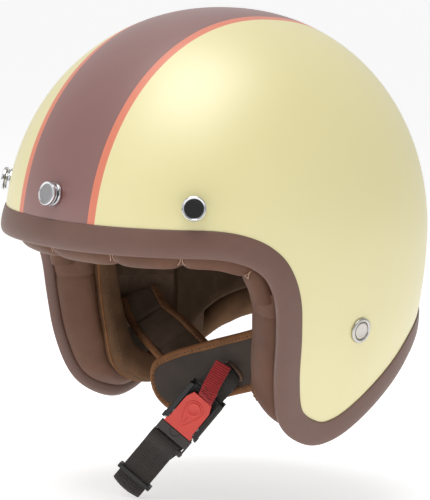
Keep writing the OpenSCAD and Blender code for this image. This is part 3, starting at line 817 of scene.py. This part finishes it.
def cheek_outline(inset, back, top):
    p = edge_grid(np.linspace(column_at(66.5), column_at(88), 11), -inset * MM,
                  -22 * MM)[:, 0]
    a, z = angle_of(p), p[:, 2] / MM
    front = np.stack([a, z], -1)[(z < top - 4) & (a < back - 1)]
    return np.vstack([front, [[back, -93], [back, -75], [back, -56], [back, top], [back - 6, top],
                              [back - 12, top]]])


foam = cushion("cheek_foam_near", cheek_outline(13, 85, -36), 5.4, 25, 27, (78, -68), FOAM, 4, 8)


def pad_fullness(at, turn):
    """The cheek pad narrows towards its upper end, and its side towards the face is the flatter."""
    share = (at - at[0]) / (at[-1] - at[0])
    return (0.86 + 0.14 * np.clip(share * 2.2, 0, 1))[:, None] * (1 + 0.03 * np.cos(3 * turn))[None]


first, last = column_at(64.4), column_at(95)
rings, sides = 130, 30
share = np.linspace(0, 1, rings)
pad = roll("cheek_pad_near", first, last,
           np.interp(share, (0, 0.4, 0.7, 1), (-16.4, -15, -9.4, -6)) * MM,
           np.interp(share, (0, 0.4, 0.7, 1), (34, 35, 37, 38)) * MM, 11.6 * MM, 9.4 * MM, 0, SUEDE,
           pad_fullness, rings, sides, 0.7)
swollen(pad, 1.2 * MM, ends_held(rings, sides))
bpy.context.view_layer.update()
seam_at = np.linspace(first + 1, last - 1, 200)
share = np.linspace(0, 1, 200)
edge_of_pad = np.interp(share, (0, 0.4, 0.7, 1), (-5.6, -4.2, 1.4, 4.6))[:, None] * MM
seam_depth = np.interp(share, (0, 0.45, 0.75, 1), (-39.5, -38, -32, -29))[:, None] * MM
seam = edge_grid(seam_at, edge_of_pad, seam_depth)[:, 0]
seam = on_piece(pad, seam)[0]
piping = merged("cheek_piping_near", [tube_solid(seam, 0.75 * MM, 8)], BINDING)
inner_seam = edge_grid(seam_at, edge_of_pad - 2.6 * MM, seam_depth - 7 * MM)[:, 0]
pad_sewing = sewn("cheek_sewing_near", pad, inner_seam, BROWN_THREAD, 3.2 * MM, 0.62, 0.3 * MM)
for piece, stem, slot in ((foam, "cheek_foam", "eps_foam"), (pad, "cheek_pad", "pad_suede"),
                          (piping, "cheek_piping", "binding_suede"),
                          (pad_sewing, "cheek_sewing", "binding_suede")):
    other = mirrored(piece, stem + "_far")
    for one, side in ((piece, "left"), (other, "right")):
        node = "cheek_foam_" if piece is foam else "cheek_pad_"
        dress(one, "helmet", slot, node + side)

ear = cushion("ear_lining_near", [[86, -60], [86, -88], [91, -95], [92, -105], [99, -103], [105, -96],
                                  [108, -86], [109, -60], [109, -37], [99, -37], [86, -37]],
              4.2, 5.6, 6.2, (98, -70), EAR, 5, 8, 0.2)
carved(ear, cut=[rod((94, 13.6, -48), (125, 13.6, -48), 4, EAR)])
other = mirrored(ear, "ear_lining_far")
dress(ear, "helmet", "ear_cloth", "ear_lining_left")
dress(other, "helmet", "ear_cloth", "ear_lining_right")

# Below the crown lining a cloth skirt hangs over the strap's anchors
skirt_angle, skirt_drop = np.meshgrid(np.linspace(85.8, 126, 80), np.linspace(0, 1, 34), indexing="ij")
skirt_foot = np.interp(skirt_angle, (85, 92, 101, 108, 117, 126), (-73, -75, -74, -82, -92, -92))
skirt_z = (-34.5 + skirt_drop * (skirt_foot + 34.5)) * MM
skirt_k = 22.0 + 0.3 * np.sin(skirt_angle / 2.1) * skirt_drop - 4.2 * skirt_drop ** 2 \
    - 1.5 * np.clip((98 - skirt_angle) / 10, 0, 1)


def skirt(name, turned_in):
    """The skirt, turned inwards at its rear edge."""
    inside = skirt_k + np.interp(skirt_angle, (101, 112, 126), (0, *turned_in))
    layers = [skin(skirt_angle, skirt_z, (inside + t) * MM) for t in (0.0, 1.3)]
    return loft(name, np.concatenate([layers[0], layers[1][:, ::-1]], 1), SKIRT_PAINTED_LIGHT)


# The far skirt meets the lining; the near one stays clear of the strap at the end of its swing
far_skirt = skirt("far_skirt", (12.5, 14))
for piece in (skirt("lining_skirt_near", (0, 3)), mirrored(far_skirt, "lining_skirt_far")):
    dress(piece, "helmet", "lining_suede", "crown_liner")
bpy.data.objects.remove(far_skirt)

# ---------------------------------------------------------------- studs and rivets
STUD = [(0, 0.35), (7.3, 0.35), (7.5, 0.55), (7.5, 1.7), (7.2, 2.15), (6.4, 2.2), (5.3, 2.35), (5.1, 2.7),
        (5.9, 2.85), (6.5, 3.0), (6.6, 3.25), (6.5, 3.5), (5.9, 3.65), (5.1, 3.8), (5.1, 4.1), (6.9, 4.2),
        (7.35, 4.35), (7.5, 4.6), (7.5, 6.0), (7.3, 6.4), (6.9, 6.58), (6.5, 6.5), (6.2, 6.3), (5.8, 6.26),
        (3, 6.3), (0, 6.32)]
for stem, angle in (("left", STUD_ANGLE), ("centre", 0), ("right", -STUD_ANGLE)):
    stud = lathe("stud_" + stem, np.array([(max(r, 0.02), z) for r, z in STUD]) * MM, CHROME,
                 on_surface(angle, STUD_LEVEL), 96)
    dress(stud, "helmet", "stud_chrome", "snap_stud_" + stem)

RING = [(5.6, 0.3), (8.0, 0.3), (8.0, 0.75), (7.8, 1.2), (7.3, 1.55), (6.8, 1.7), (6.3, 1.6), (5.85, 1.25),
        (5.6, 0.8)]
HEAD = [(0.02, 0.3), (5.2, 0.3), (5.25, 0.7), (5.1, 1.1), (4.7, 1.32), (4.2, 1.28), (3.9, 1.18), (2, 1.2),
        (0.02, 1.22)]
for side, sign in (("left", 1), ("right", -1)):
    place = on_surface(sign * ANCHOR_ANGLE, ANCHOR_LEVEL)
    turn = np.linspace(0, 2 * np.pi, 96, endpoint=False)
    ring = np.array(RING) * MM
    rings = np.stack([np.outer(np.cos(turn), ring[:, 0]), np.outer(np.sin(turn), ring[:, 0]),
                      np.broadcast_to(ring[:, 1], (96, len(ring)))], -1)
    washer = loft("anchor_ring_" + side, rings, WASHER, closed=True)
    washer.data.set_sharp_from_angle(angle=math.radians(50))
    washer.matrix_world = place
    dress(washer, "helmet", "washer_steel", "anchor_washer_" + side)
    head = lathe("anchor_head_" + side, np.array(HEAD) * MM, ANCHOR, place, 96)
    dress(head, "helmet", "anchor_steel", "anchor_rivet_" + side)
    tail = Matrix.Translation((sign * 98.5 * MM, 13.6 * MM, -48 * MM)) @ Matrix.Rotation(
        math.radians(90 * sign), 4, "Y")
    shank = lathe("anchor_shank_" + side,
                  np.array([(0.02, 0.0), (3.4, 0.0), (4.6, 0.3), (5, 0.9), (5, 1.5), (3, 1.5), (3, 18),
                            (0.02, 18)]) * MM, ANCHOR, tail, 48)
    dress(shank, "helmet", "anchor_steel", "anchor_rivet_" + side)

# ---------------------------------------------------------------- chin strap
LEFT_PATH = [(90, 7, -59), (70, 3, -66), (45, -4, -76), (15, -10.5, -86.5), (-10, -16, -96),
             (-25, -19.3, -102.5), (-33, -21, -106.2)]
LEFT_ACROSS = [(-0.29, -0.19, 0.94)] * 7
LEFT_WIDTH = [0.8, 1, 1, 1, 1, 0.9, 0.66]
RIGHT_PATH = [(-90, 8.5, -51.5), (-75, 8, -65.5), (-52, 6.5, -75.5), (-20, 4.5, -90)]
RIGHT_ACROSS = [(0, 0.77, 0.63), (0.3, 0.68, 0.6), (0.55, 0.67, 0.5), (0.55, 0.67, 0.5)]
RIGHT_WIDTH = [0.74, 0.78, 0.86, 0.86]
PAD_WIDTH, BINDING_WIDTH, STRAP_WIDTH = 38 * MM, 5.0 * MM, 21 * MM


def facing_frames(line, across):
    """Directions along a line, square to its face, and across it."""
    way = unit(np.gradient(line, axis=0))
    normal = unit(np.cross(way, unit(across)))
    return way, normal, np.cross(normal, way)


def pad_stations(path, across, widths, tip):
    """A comfort pad's centre line, frame, half width and distance along, rounded at its end."""
    steps = 26
    line = spline(path, steps) * MM
    span = spline(across, steps)
    width = spline(np.array(widths)[:, None], steps)[:, 0] * PAD_WIDTH / 2
    s = lengths(line)
    left = np.clip((s - (s[-1] - tip)) / tip, 0, 0.995)
    width = width * (1 - left ** 2.4) ** (1 / 2.4)
    return line, facing_frames(line, span), width, s


def pad_core(name, stations, material, groove=None):
    """The padded centre of a comfort pad, which runs in under the binding."""
    line, (_, normal, side), width, s = stations
    inner = np.maximum(width - BINDING_WIDTH + 2 * MM, 1.2 * MM)
    u = np.linspace(-1, 1, 19)
    crown = 3.45 * MM * (1 - 0.38 * np.abs(u) ** 3)
    thick = np.ones(len(s)) if groove is None else groove(s)
    taper = np.minimum(1, np.sqrt(np.maximum(width / width.max(), 0.05)))
    thick = (thick * taper)[:, None, None]
    face = line[:, None] + (inner[:, None] * u)[..., None] * side[:, None]
    lift = crown[None, :, None] * normal[:, None]
    rings = np.concatenate([face + thick * lift, (face - thick * lift)[:, ::-1]], 1)
    piece = loft(name, rings, material)
    edge = np.tile(np.abs(np.concatenate([u, u[::-1]])) > 0.88, len(s))
    return piece, edge.astype(float)


def pad_edge(stations):
    """The outline of a comfort pad: its points, and the directions out of it and out of its face."""
    line, (_, normal, side), width, _ = stations
    top, bottom = line + side * width[:, None], line - side * width[:, None]
    route = np.vstack([top, bottom[::-1]])
    face = np.vstack([normal, normal[::-1]])
    s = lengths(route)
    at = np.arange(0, s[-1], 0.9 * MM)
    route, face = sampled(route, s, at), unit(sampled(face, s, at))
    for _ in range(6):
        route[1:-1] = (route[:-2] + 2 * route[1:-1] + route[2:]) / 4
    way = unit(np.gradient(route, axis=0))
    out = np.cross(face, way)
    if ((route - line.mean(0)) * out).sum() < 0:
        out = -out
    return route, out, face, at


def pad_binding(name, stations, material):
    """The suede strip that is folded round a comfort pad's edge, slightly puckered by its stitches."""
    route, out, face, at = pad_edge(stations)
    x = [-4.5, -4.4, -4.0, -3.4, -2.6, -1.7, -0.8, -0.15]
    y = [2.3, 2.75, 2.95, 2.95, 3.0, 2.75, 2.1, 1.0]
    x = np.array([*x, 0, *x[::-1], -3.4, -3.4]) * 1.14 * MM
    y = np.array([*y, 0, *[-v for v in y[::-1]], -1.5, 1.5]) * MM
    pucker = 1 + 0.05 * np.sin(at * 2 * np.pi / (6.3 * MM))[:, None] * np.exp(-((x / MM + 3.6) / 1.6) ** 2)
    wander = 0.25 * MM * np.sin(at / (17 * MM)) + 0.12 * MM * np.sin(at / (5.1 * MM) + 1)
    across = x[None] + np.where(x < -3.8 * MM, 1, 0)[None] * wander[:, None]
    rings = (route[:, None] + across[..., None] * out[:, None] + (pucker * y)[..., None] * face[:, None])
    return loft(name, rings, material), (route, out, face)


def seam_groove(s, *places):
    """Thickness along a pad, pressed in at seams across it."""
    near = np.abs(s[:, None] - np.array(places)[None] * MM).min(1)
    return 1 - 0.34 * np.exp(-(near / (1.3 * MM)) ** 2)


near_pad = pad_stations(LEFT_PATH, LEFT_ACROSS, LEFT_WIDTH, 11 * MM)
far_pad = pad_stations(RIGHT_PATH, RIGHT_ACROSS, RIGHT_WIDTH, 7 * MM)
for stem, side, stations, cover, slot, front, groove in (
        ("near", "left", near_pad, PANEL, "pad_leather", -1, None),
        ("far", "right", far_pad, PANEL_SUEDE, "pad_panel_suede", 1,
         lambda s: seam_groove(s, 20, 52))):
    body = "strap_" + side
    core, edge = pad_core("comfort_pad_" + stem, stations, cover, groove)
    swollen(core, 1.1 * MM, edge)
    dress(core, body, slot, "chin_pad_" + side)
    border, (route, out, face) = pad_binding("comfort_binding_" + stem, stations, BINDING)
    dress(border, body, "binding_suede", "pad_binding_" + side)
    bpy.context.view_layer.update()
    sewing = sewn("comfort_stitching_" + stem, border, route - out * 3.5 * MM + face * front * 3.2 * MM,
                  BROWN_THREAD, 3.0 * MM)
    dress(sewing, body, "binding_suede", "pad_binding_" + side)

BUCKLE_AT = np.array([10, -30, -118]) * MM
BUCKLE = (Matrix.Translation(Vector(BUCKLE_AT)) @ Matrix.Rotation(math.radians(40), 4, "Z")
          @ Matrix.Rotation(math.radians(36), 4, "Y"))
BUCKLE_X, BUCKLE_BACK, BUCKLE_UP = (np.array(BUCKLE.to_3x3().col[i]) for i in range(3))


def in_buckle(points):
    """Points given across the buckle, out of its face and along it, in millimetres."""
    p = np.atleast_2d(np.array(points, float)) * MM
    return BUCKLE_AT + p[:, :1] * BUCKLE_X - p[:, 1:2] * BUCKLE_BACK + p[:, 2:] * BUCKLE_UP


def tape(name, points, across, widths, material, thickness=1.5 * MM, pitch=1.6 * MM, rib=0.12 * MM,
         steps=16):
    """Woven tape: a flat band through points, ribbed across and a little thicker at its edges."""
    line, span = spline(points, steps), spline(across, steps)
    width = spline((widths * np.ones(len(points)))[:, None], steps)[:, 0]
    s = lengths(line)
    at = np.linspace(0, s[-1], max(12, int(s[-1] / (pitch / 6))))
    line, span, width = sampled(line, s, at), sampled(span, s, at), np.interp(at, s, width)
    _, normal, side = facing_frames(line, span)
    u = [1, 0.99, 0.96, 0.9, 0.8, 0.65, 0.45, 0.25]
    half = [0.45, 0.8, 1, 1.04, 1, 0.94, 0.93, 0.93]
    u = np.array([*[-v for v in u], 0, *u[::-1]])
    half = thickness / 2 * np.array([*half, 0.93, *half[::-1]])
    ribs = rib * np.sin(at * 2 * np.pi / pitch)[:, None] * (1 - np.abs(u) ** 12)[None]
    face = line[:, None] + (u[None] * width[:, None] / 2)[..., None] * side[:, None]
    over = (half[None] + ribs)[..., None] * normal[:, None]
    under = (half[None] - ribs)[..., None] * normal[:, None]
    rings = np.concatenate([face + over, (face - under)[:, ::-1]], 1)
    uv = np.stack(np.broadcast_arrays(u[None] * width[:, None] / 2, at[:, None]), -1)
    return loft(name, rings, material, uvs=np.concatenate([uv, uv[:, ::-1]], 1))


for stem, side, count, twist, start, step in (
        ("near", "left", 11, 60, (100.6, 12.6, -61), (-0.72, -0.46, 0.18)),
        ("far", "right", 7, 36, (-100.6, 12.6, -61), (1.2, -0.6, 0.9))):
    turning = np.radians(np.linspace(0, twist, count))
    web = tape("hanger_webbing_" + stem, (start + np.arange(count)[:, None] * step) * MM,
               np.stack([0 * turning, np.cos(turning), np.sin(turning)], -1), STRAP_WIDTH, WEBBING, steps=4)
    dress(web, "strap_" + side, "webbing_nylon", "webbing_" + side)
route = np.vstack([np.array([(-19, 4.4, -90.4), (-12, 4, -106), (-6, -4, -119), (-4.5, -13, -124)]) * MM,
                   in_buckle([(1, -9, -16), (0.6, -7.6, -20.5), (-0.6, -4.7, -25.5)])])
lower_web = tape("latch_webbing_far", route,
                 [RIGHT_ACROSS[3], (0.75, 0.6, 0.2), (0.9, 0.3, -0.1), (0.85, 0.4, -0.2)] + [BUCKLE_X] * 3,
                 STRAP_WIDTH, WEBBING, rib=0.06 * MM)
upper_web = tape("buckle_webbing_black", in_buckle([(4.4, -0.6, 43.5), (3.4, 1.2, 39.5), (2.4, 1.2, 35),
                                                    (1.4, 0, 29.5), (1, -1.8, 23.5)]),
                 [BUCKLE_X] * 5, np.array([14, 17, 20, 21, 21]) * MM, WEBBING, rib=0.06 * MM)
dress(upper_web, "strap_left", "webbing_nylon", "buckle_webbing")

# The buttonhole through the near pad is edged with close brown stitches
eye = in_buckle([(4.4, -0.6, 43.5)])[0]
core = bpy.data.objects["comfort_pad_near"]
seat, normal = (found[0] for found in on_piece(core, [eye]))
along_eye = unit(BUCKLE_X - (BUCKLE_X @ normal) * normal)
up_eye = np.cross(normal, along_eye)
solids = []
for t in np.linspace(0, 2 * np.pi, 46, endpoint=False):
    spot = 6.2 * MM * np.cos(t) * along_eye + 1.8 * MM * np.sin(t) * up_eye
    away = unit(np.cos(t) * along_eye * 1.8 + np.sin(t) * up_eye * 6.2)
    line = seat + spot + away * (np.linspace(-0.2, 1.6, 6) * MM)[:, None]
    solids.append(raised_thread(core, line, 0.55 * MM, 0.15, 0.5 * MM))
buttonhole = merged("buttonhole_stitching", solids, BROWN_THREAD)
dress(buttonhole, "strap_left", "binding_suede", "chin_pad_left")

# ---------------------------------------------------------------- buckle
LOCAL = BUCKLE @ Matrix.Translation((1 * MM, 0, 0))
PIN_OUT, PIN_LEVEL = -3.2, -4


def placed(piece, *dressing, place=LOCAL):
    """Puts a piece that was made in the buckle's own frame in its place, and dresses it."""
    piece.matrix_world = place
    return dress(piece, *dressing)


def lever_mesh():
    """The red release lever: a tapered plate with a dished thumb pad, a tooth and two barrels."""
    h = 21.3 / 2
    outline = [(-h, -7.8), (h, -7.8), (h, -5.2), (h - 1.1, -4.4), (h - 1.3, 13), (h - 1.9, 14.6), (7, 18.4),
               (-7, 18.4), (-h + 1.9, 14.6), (-h + 1.3, 13), (-h + 1.1, -4.4), (-h, -5.2)]
    body = plate(outline, -5.8, -3.4, RED, "release_lever_red")
    pad_ring = np.array([(0.02, -0.3), (4.5, -0.3), (4.5, 0.25), (4.35, 0.5), (4.0, 0.58), (3.5, 0.5),
                         (2.8, 0.3), (1.5, 0.2), (0.02, 0.18)]) * MM
    thumb = lathe("thumb", pad_ring, RED, Matrix.Translation((0, -5.8 * MM, 9.4 * MM))
                  @ Matrix.Rotation(math.radians(90), 4, "X"), 64)
    barrels = [rod((x - 2.4, PIN_OUT, PIN_LEVEL), (x + 2.4, PIN_OUT, PIN_LEVEL), 2, RED)
               for x in (-6.8, 6.8)]
    tooth = block((-8, -3.5, 6), (8, -1.1, 7.2), RED)
    bore = rod((-20, PIN_OUT, PIN_LEVEL), (20, PIN_OUT, PIN_LEVEL), 1.05, RED)
    room = block((-3.6, -5.15, -6), (3.6, -1.15, -2), RED)
    carved(body, add=[thumb, tooth, *barrels], cut=[bore, room])
    return bevelled(body, 0.38 * MM, 3, 30)


placed(lever_mesh(), "buckle_lever", "lever_red", "release_lever")
turn = np.radians(np.linspace(-64, 244, 60))
low = np.sin(turn) < 0
tear = np.stack([6.1 * np.cos(turn) * np.where(low, (1 + np.sin(turn)) ** 0.6, 1), np.full(60, -5.76),
                 8.8 + np.where(low, 13.8, 6) * np.sin(turn)], -1) * MM
inner = np.stack([np.full(12, 0), np.full(12, -5.76), np.linspace(3.0, -1.6, 12)], -1) * MM
ridges = merged("lever_ridges_red", [tube_solid(tear, 0.4 * MM), tube_solid(inner, 0.36 * MM)], RED)
placed(ridges, "buckle_lever", "lever_red", "release_lever")

cover = block((-13.2, -3.4, -5.5), (13.2, 4.6, 23.5), BLACK, "buckle_cover_black")
beads = [rod((x, -4.7, -5.6), (x, -4.7, 21.6), 1.25, BLACK) for x in (-12.35, 12.35)]
walls = [block((x, -4.8, -5.5), (x + 1.3, 0, 22), BLACK) for x in (-13.2, 11.9)]
lips = [block((x, -5.4, -5), (x + 2.2, -4.4, 21.8), BLACK) for x in (-12.4, 10.2)]
end_stops = [block((x, -5.2, 20.6), (x + 2.2, 3.2, 22), BLACK) for x in (-12.4, 10.2)]
knobs = [rod((x, -3.4, -5.0), (x + s, -3.4, -5.0), 2.0, BLACK) for x, s in ((-14, 2), (12, 2))]
channel = block((-11.85, -4, -8), (11.85, 3.1, 32), BLACK)
corner = block((-30, -3, -8), (30, 3, 8), BLACK)
corner.matrix_world = Matrix.Translation((0, -4.6 * MM, 24.4 * MM)) @ Matrix.Rotation(
    math.radians(45), 4, "X")
carved(cover, cut=[channel, corner])
carved(cover, add=[*walls, *beads, *knobs, *lips, *end_stops])
placed(bevelled(cover, 0.4 * MM), "strap_left", "buckle_black", "buckle_cover")
sheath = block((-10.79, -4.6, 0), (10.79, 1.79, 21.9), BLACK, "buckle_sheath_black")
carved(sheath, cut=[block((-10.15, -8, -2), (10.15, 1.56, 26), BLACK)])
placed(bevelled(sheath, 0.1 * MM, 2), "strap_left", "buckle_black", "buckle_cover")

channel = block((-11.79, 1.8, -6.6), (11.79, 3, 20.2), STEEL, "buckle_channel_steel")
ears = [block((x, -4.3, -6.6), (x + 0.98, 2.4, 20.2), STEEL) for x in (-11.79, 10.81)]
carved(channel, add=ears, cut=[block((-6, 0, 16), (6, 5, 20), STEEL)])
placed(bevelled(channel, 0.25 * MM), "strap_left", "buckle_steel", "buckle_frame")


def tongue_mesh():
    """The toothed tongue: a blade with side rails, and a rounded head with a plain arc pressed in."""
    head = block((-12.2, -2.4, -21.5), (12.2, 1.8, -9.2), TONGUE_BLACK, "ratchet_tongue_black")
    blade = block((-8, 0.2, -12), (8, 1.5, 20), TONGUE_BLACK)
    teeth = []
    for i in range(8):
        z = 3 + 2.2 * i
        points = np.array([(x, y, w) for x in (-7.4, 7.4) for y, w in ((0.3, z), (-0.7, z), (0.3, z - 1.8))])
        teeth.append(mesh_piece("tooth", points * MM, [(0, 1, 2), (3, 5, 4), (0, 3, 4, 1), (1, 4, 5, 2),
                                                       (2, 5, 3, 0)], TONGUE_BLACK, smooth=False))
    rails = [rod((x, 0.5, -10), (x, 0.5, 19), 0.7, TONGUE_BLACK) for x in (-7.7, 7.7)]
    mouth = block((-10.9, -6, -18.4), (10.9, 6, -15.2), TONGUE_BLACK)
    bore = rod((-20, -0.4, -20.1), (20, -0.4, -20.1), 1.02, TONGUE_BLACK)
    t = np.linspace(np.pi, 2 * np.pi, 30)
    arc = np.stack([3.5 * np.cos(t) - 0.8, np.full(30, -2.45), 3.5 * np.sin(t) - 9.6], -1) * MM
    dent = mesh_piece("arc", *tube_solid(arc, 0.42 * MM, 8), TONGUE_BLACK)
    carved(head, add=[blade, *teeth, *rails], cut=[mouth, bore, dent])
    return bevelled(head, 0.5 * MM, 3)


placed(tongue_mesh(), "tongue", "tongue_black", "ratchet_tongue")

# The webbing hangs from the tongue's bar as one loop: its places out of the buckle's face and along it
LOOP = [(0.2, -16.9), (-1.7, -17.3), (-2.7, -19.6), (-2.8, -23), (-2.65, -28), (-2.62, -37), (-2.65, -44),
        (-2.65, -50), (-2.75, -53.4), (-3.05, -56), (-2.2, -58.2), (-0.6, -58.6), (0.9, -57.4),
        (1.05, -55.4), (0.6, -53), (0.6, -48), (0.55, -40), (0.5, -33), (0.5, -28.6), (1.2, -25.6),
        (2.7, -22.8), (3.35, -20.6), (3.2, -18.6), (2.3, -17.1), (1.4, -16.8)]
hanging = tape("tongue_webbing_black", in_buckle([(-1, *at) for at in LOOP]), [BUCKLE_X] * len(LOOP),
               STRAP_WIDTH, WEBBING, rib=0.11 * MM)
out_of = np.array([v.co for v in hanging.data.vertices]) - BUCKLE_AT
across_it, along_it = out_of @ BUCKLE_X / MM + 1, out_of @ BUCKLE_UP / MM
bow = 1.7 * (1 - (across_it / 10.5) ** 2) * np.clip((-53 - along_it) / 4, 0, 1)
moved = out_of + BUCKLE_AT - (bow * MM)[:, None] * BUCKLE_UP
hanging.data.vertices.foreach_set("co", moved.astype(np.float32).ravel())
filling = tape("tongue_webbing_inner", in_buckle([(-1, -0.9, -54), (-1, -1.1, -56.6)]),
               [BUCKLE_X] * 2, 20.4 * MM, WEBBING, thickness=2 * MM)
for piece in (hanging, filling):
    dress(piece, "tongue", "webbing_nylon", "tongue_webbing")
for i, z in enumerate((-53.9, -55.6)):
    row_ends = in_buckle([(-10, 1.45, z), (8, 1.45, z)])
    row = sewn(f"tongue_stitching_{i + 1}", hanging, np.linspace(*row_ends, 30), BLACK_THREAD, 2.4 * MM)
    dress(row, "tongue", "webbing_nylon", "tongue_webbing")

slider = block((-12.9, -4.2, -1.5), (12.9, 4.2, 1.5), BLACK, "strap_slider_black")
carved(slider, cut=[block((-10.8, y, -5), (10.8, y + 2.1, 5), BLACK) for y in (-2.6, 0.6)])
placed(bevelled(slider, 0.7 * MM, 4), "slider", "buckle_black", "strap_slider",
       place=BUCKLE @ Matrix.Translation((-1 * MM, 1 * MM, -50 * MM)))

tab_across = [BUCKLE_X + BUCKLE_UP * math.sin(math.radians(a)) for a in (-6, -6, -8, -12, -14, -14)]
tab = tape("pull_tab_red", in_buckle([(2.1, 2.9, 15.6), (2.1, 4.2, 18.9), (1.9, 6.3, 20.4),
                                      (1.2, 6.9, 24), (-0.5, 7, 30), (-3.2, 5.8, 44.6)]),
           tab_across, 10.8 * MM, RED_TAPE, 1.0 * MM, 1.45 * MM, 0.2 * MM)
dress(tab, "buckle_lever", "tab_red", "pull_tab")
bpy.context.view_layer.update()
for i, z in enumerate((21.6, 24.6)):
    row_ends = in_buckle([(-2.6, 9, z + 0.6), (5.4, 9, z - 0.6)])
    row = sewn(f"tab_stitching_{i + 1}", tab, np.linspace(*row_ends, 24), RED_THREAD, 1.9 * MM, 0.7,
               0.3 * MM)
    dress(row, "buckle_lever", "tab_red", "pull_tab")

turns = np.linspace(0, 2 * np.pi * 4.5, 200)
coil = np.stack([np.linspace(-3, 3, 200), PIN_OUT + 1.45 * np.cos(turns),
                 PIN_LEVEL + 1.45 * np.sin(turns)], -1) * MM
coil = np.vstack([coil[:1] + np.linspace([[0, 5.6, 6]], [[0, 0, 0]], 8)[:-1, 0] * MM, coil,
                  coil[-1:] + np.linspace([[0, 0, 0]], [[0, 1.7, 3.4]], 8)[1:, 0] * MM])
spring = mesh_piece("lever_spring_wire", *tube_solid(coil, 0.32 * MM), SPRING)
placed(spring, "strap_left", "spring_steel", "lever_spring")

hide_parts("webbing_right")
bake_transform(lower_web)

# ---------------------------------------------------------------- threads on the lining
bpy.context.view_layer.update()
tacks = []
for run in PINCHES:
    for lean in (-0.3, 0.25):
        spots = edge_grid([run + lean, run + lean * 0.35], [4.6 * MM, 12 * MM], -11.5 * MM)
        tacks.append(raised_thread(brow, np.linspace(spots[0, 0], spots[1, 1], 9), 0.4 * MM, 0.1,
                                   0.28 * MM))
dress(merged("brow_tacking", tacks, TAN_THREAD), "helmet", "roll_leather", "brow_roll")

# ---------------------------------------------------------------- carried-over metal parts
for node, material in (("lever_pin", STEEL), ("tongue_bar", STEEL),
                       ("hanger_plate_left", PLATE), ("hanger_plate_right", PLATE),
                       ("stud_backing_washers", PLATE)):
    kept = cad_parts[node]
    for place in kept.material_slots:
        place.material = material
    if node != "stud_backing_washers":
        bevelled(kept, 0.2 * MM, 2)

# ---------------------------------------------------------------- floor, light and camera
paper = Nodes("studio_floor", 0.9, Emission_Color=(1, 1, 1, 1), Emission_Strength=0.52)
tooth = paper.noise(paper.place(), 90, 3)
PAPER = paper.done(paper.mix(tooth, (0.9, 0.9, 0.9, 1), (0.88, 0.88, 0.88, 1)), None,
                   paper.bump(tooth, 0.1 * MM, 0.2))
FLOOR_LEVEL, FLOOR_HALF = -0.1725, 60
floor = mesh_piece("floor", [(x * FLOOR_HALF, y * FLOOR_HALF, FLOOR_LEVEL)
                             for x, y in ((-1, -1), (1, -1), (1, 1), (-1, 1))], [(0, 1, 2, 3)], PAPER)

VIEW_RIGHT = Vector((0.6573, 0.7512, 0.0604)).normalized()
VIEW_UP = Vector((-0.116, 0.0217, 0.993))
VIEW_UP = (VIEW_UP - VIEW_UP.dot(VIEW_RIGHT) * VIEW_RIGHT).normalized()
VIEW_BACK = VIEW_RIGHT.cross(VIEW_UP)
LIGHT_AWAY, CAMERA_AWAY = 1.6, 1.73


def soft_light(name, direction, size, radiance):
    """A square studio light aimed at the helmet."""
    data = bpy.data.lights.new(name, "AREA")
    data.shape, data.size, data.energy = "SQUARE", size, radiance * math.pi * size ** 2
    light = bpy.data.objects.new(name, data)
    bpy.context.scene.collection.objects.link(light)
    way = Vector(direction).normalized()
    light.location = way * LIGHT_AWAY + Vector((0, 0, -0.02))
    light.rotation_euler = way.to_track_quat("Z", "Y").to_euler()


def from_camera(right, up, back):
    return VIEW_RIGHT * right + VIEW_UP * up + VIEW_BACK * back


def studio_world(front, behind):
    """A white room, dimmer on the near side, with a dark doorway that the nearest stud mirrors."""
    world = bpy.data.worlds.new("studio")
    world.use_nodes = True
    tree = world.node_tree
    way = tree.nodes.new("ShaderNodeTexCoord").outputs["Generated"]

    def towards(direction, low, high, at_low, at_high):
        dot = tree.nodes.new("ShaderNodeVectorMath")
        dot.operation = "DOT_PRODUCT"
        tree.links.new(way, dot.inputs[0])
        dot.inputs[1].default_value = tuple(direction)
        ramp = tree.nodes.new("ShaderNodeMapRange")
        ramp.interpolation_type = "SMOOTHSTEP"
        tree.links.new(dot.outputs["Value"], ramp.inputs[0])
        for i, value in enumerate((low, high, at_low, at_high), 1):
            ramp.inputs[i].default_value = value
        return ramp.outputs[0]

    product = tree.nodes.new("ShaderNodeMath")
    product.operation = "MULTIPLY"
    tree.links.new(towards(VIEW_BACK, -0.75, 0.1, behind, front), product.inputs[0])
    door = Vector((0.739, -0.647, 0.186)).normalized()
    tree.links.new(towards(door, 0.955, 0.985, 1.0, 0.08), product.inputs[1])
    tree.links.new(product.outputs[0], tree.nodes["Background"].inputs["Strength"])
    tree.nodes["Background"].inputs["Color"].default_value = (1, 1, 1, 1)
    bpy.context.scene.world = world


studio_world(0.38, 0.68)
bpy.context.scene.view_settings.view_transform = "Standard"
soft_light("top", from_camera(-0.1, 0.92, 0.38), 1.3, 3.2)
soft_light("key", from_camera(-0.8, 0.45, 0.6), 1.0, 0.6)
soft_light("fill", from_camera(0.9, 0.1, 0.7), 1.4, 0.3)

lens = bpy.data.cameras.new("camera")
lens.sensor_width, lens.lens = 36, 194.2
lens.clip_start, lens.clip_end = 0.1, 120
camera = bpy.data.objects.new("camera", lens)
bpy.context.scene.collection.objects.link(camera)
turned_to = Matrix((VIEW_RIGHT, VIEW_UP, VIEW_BACK)).transposed().to_4x4()
camera.matrix_world = Matrix.Translation(VIEW_BACK * CAMERA_AWAY - VIEW_RIGHT * 0.00396
                                         - VIEW_UP * 0.01179) @ turned_to
bpy.context.scene.camera = camera
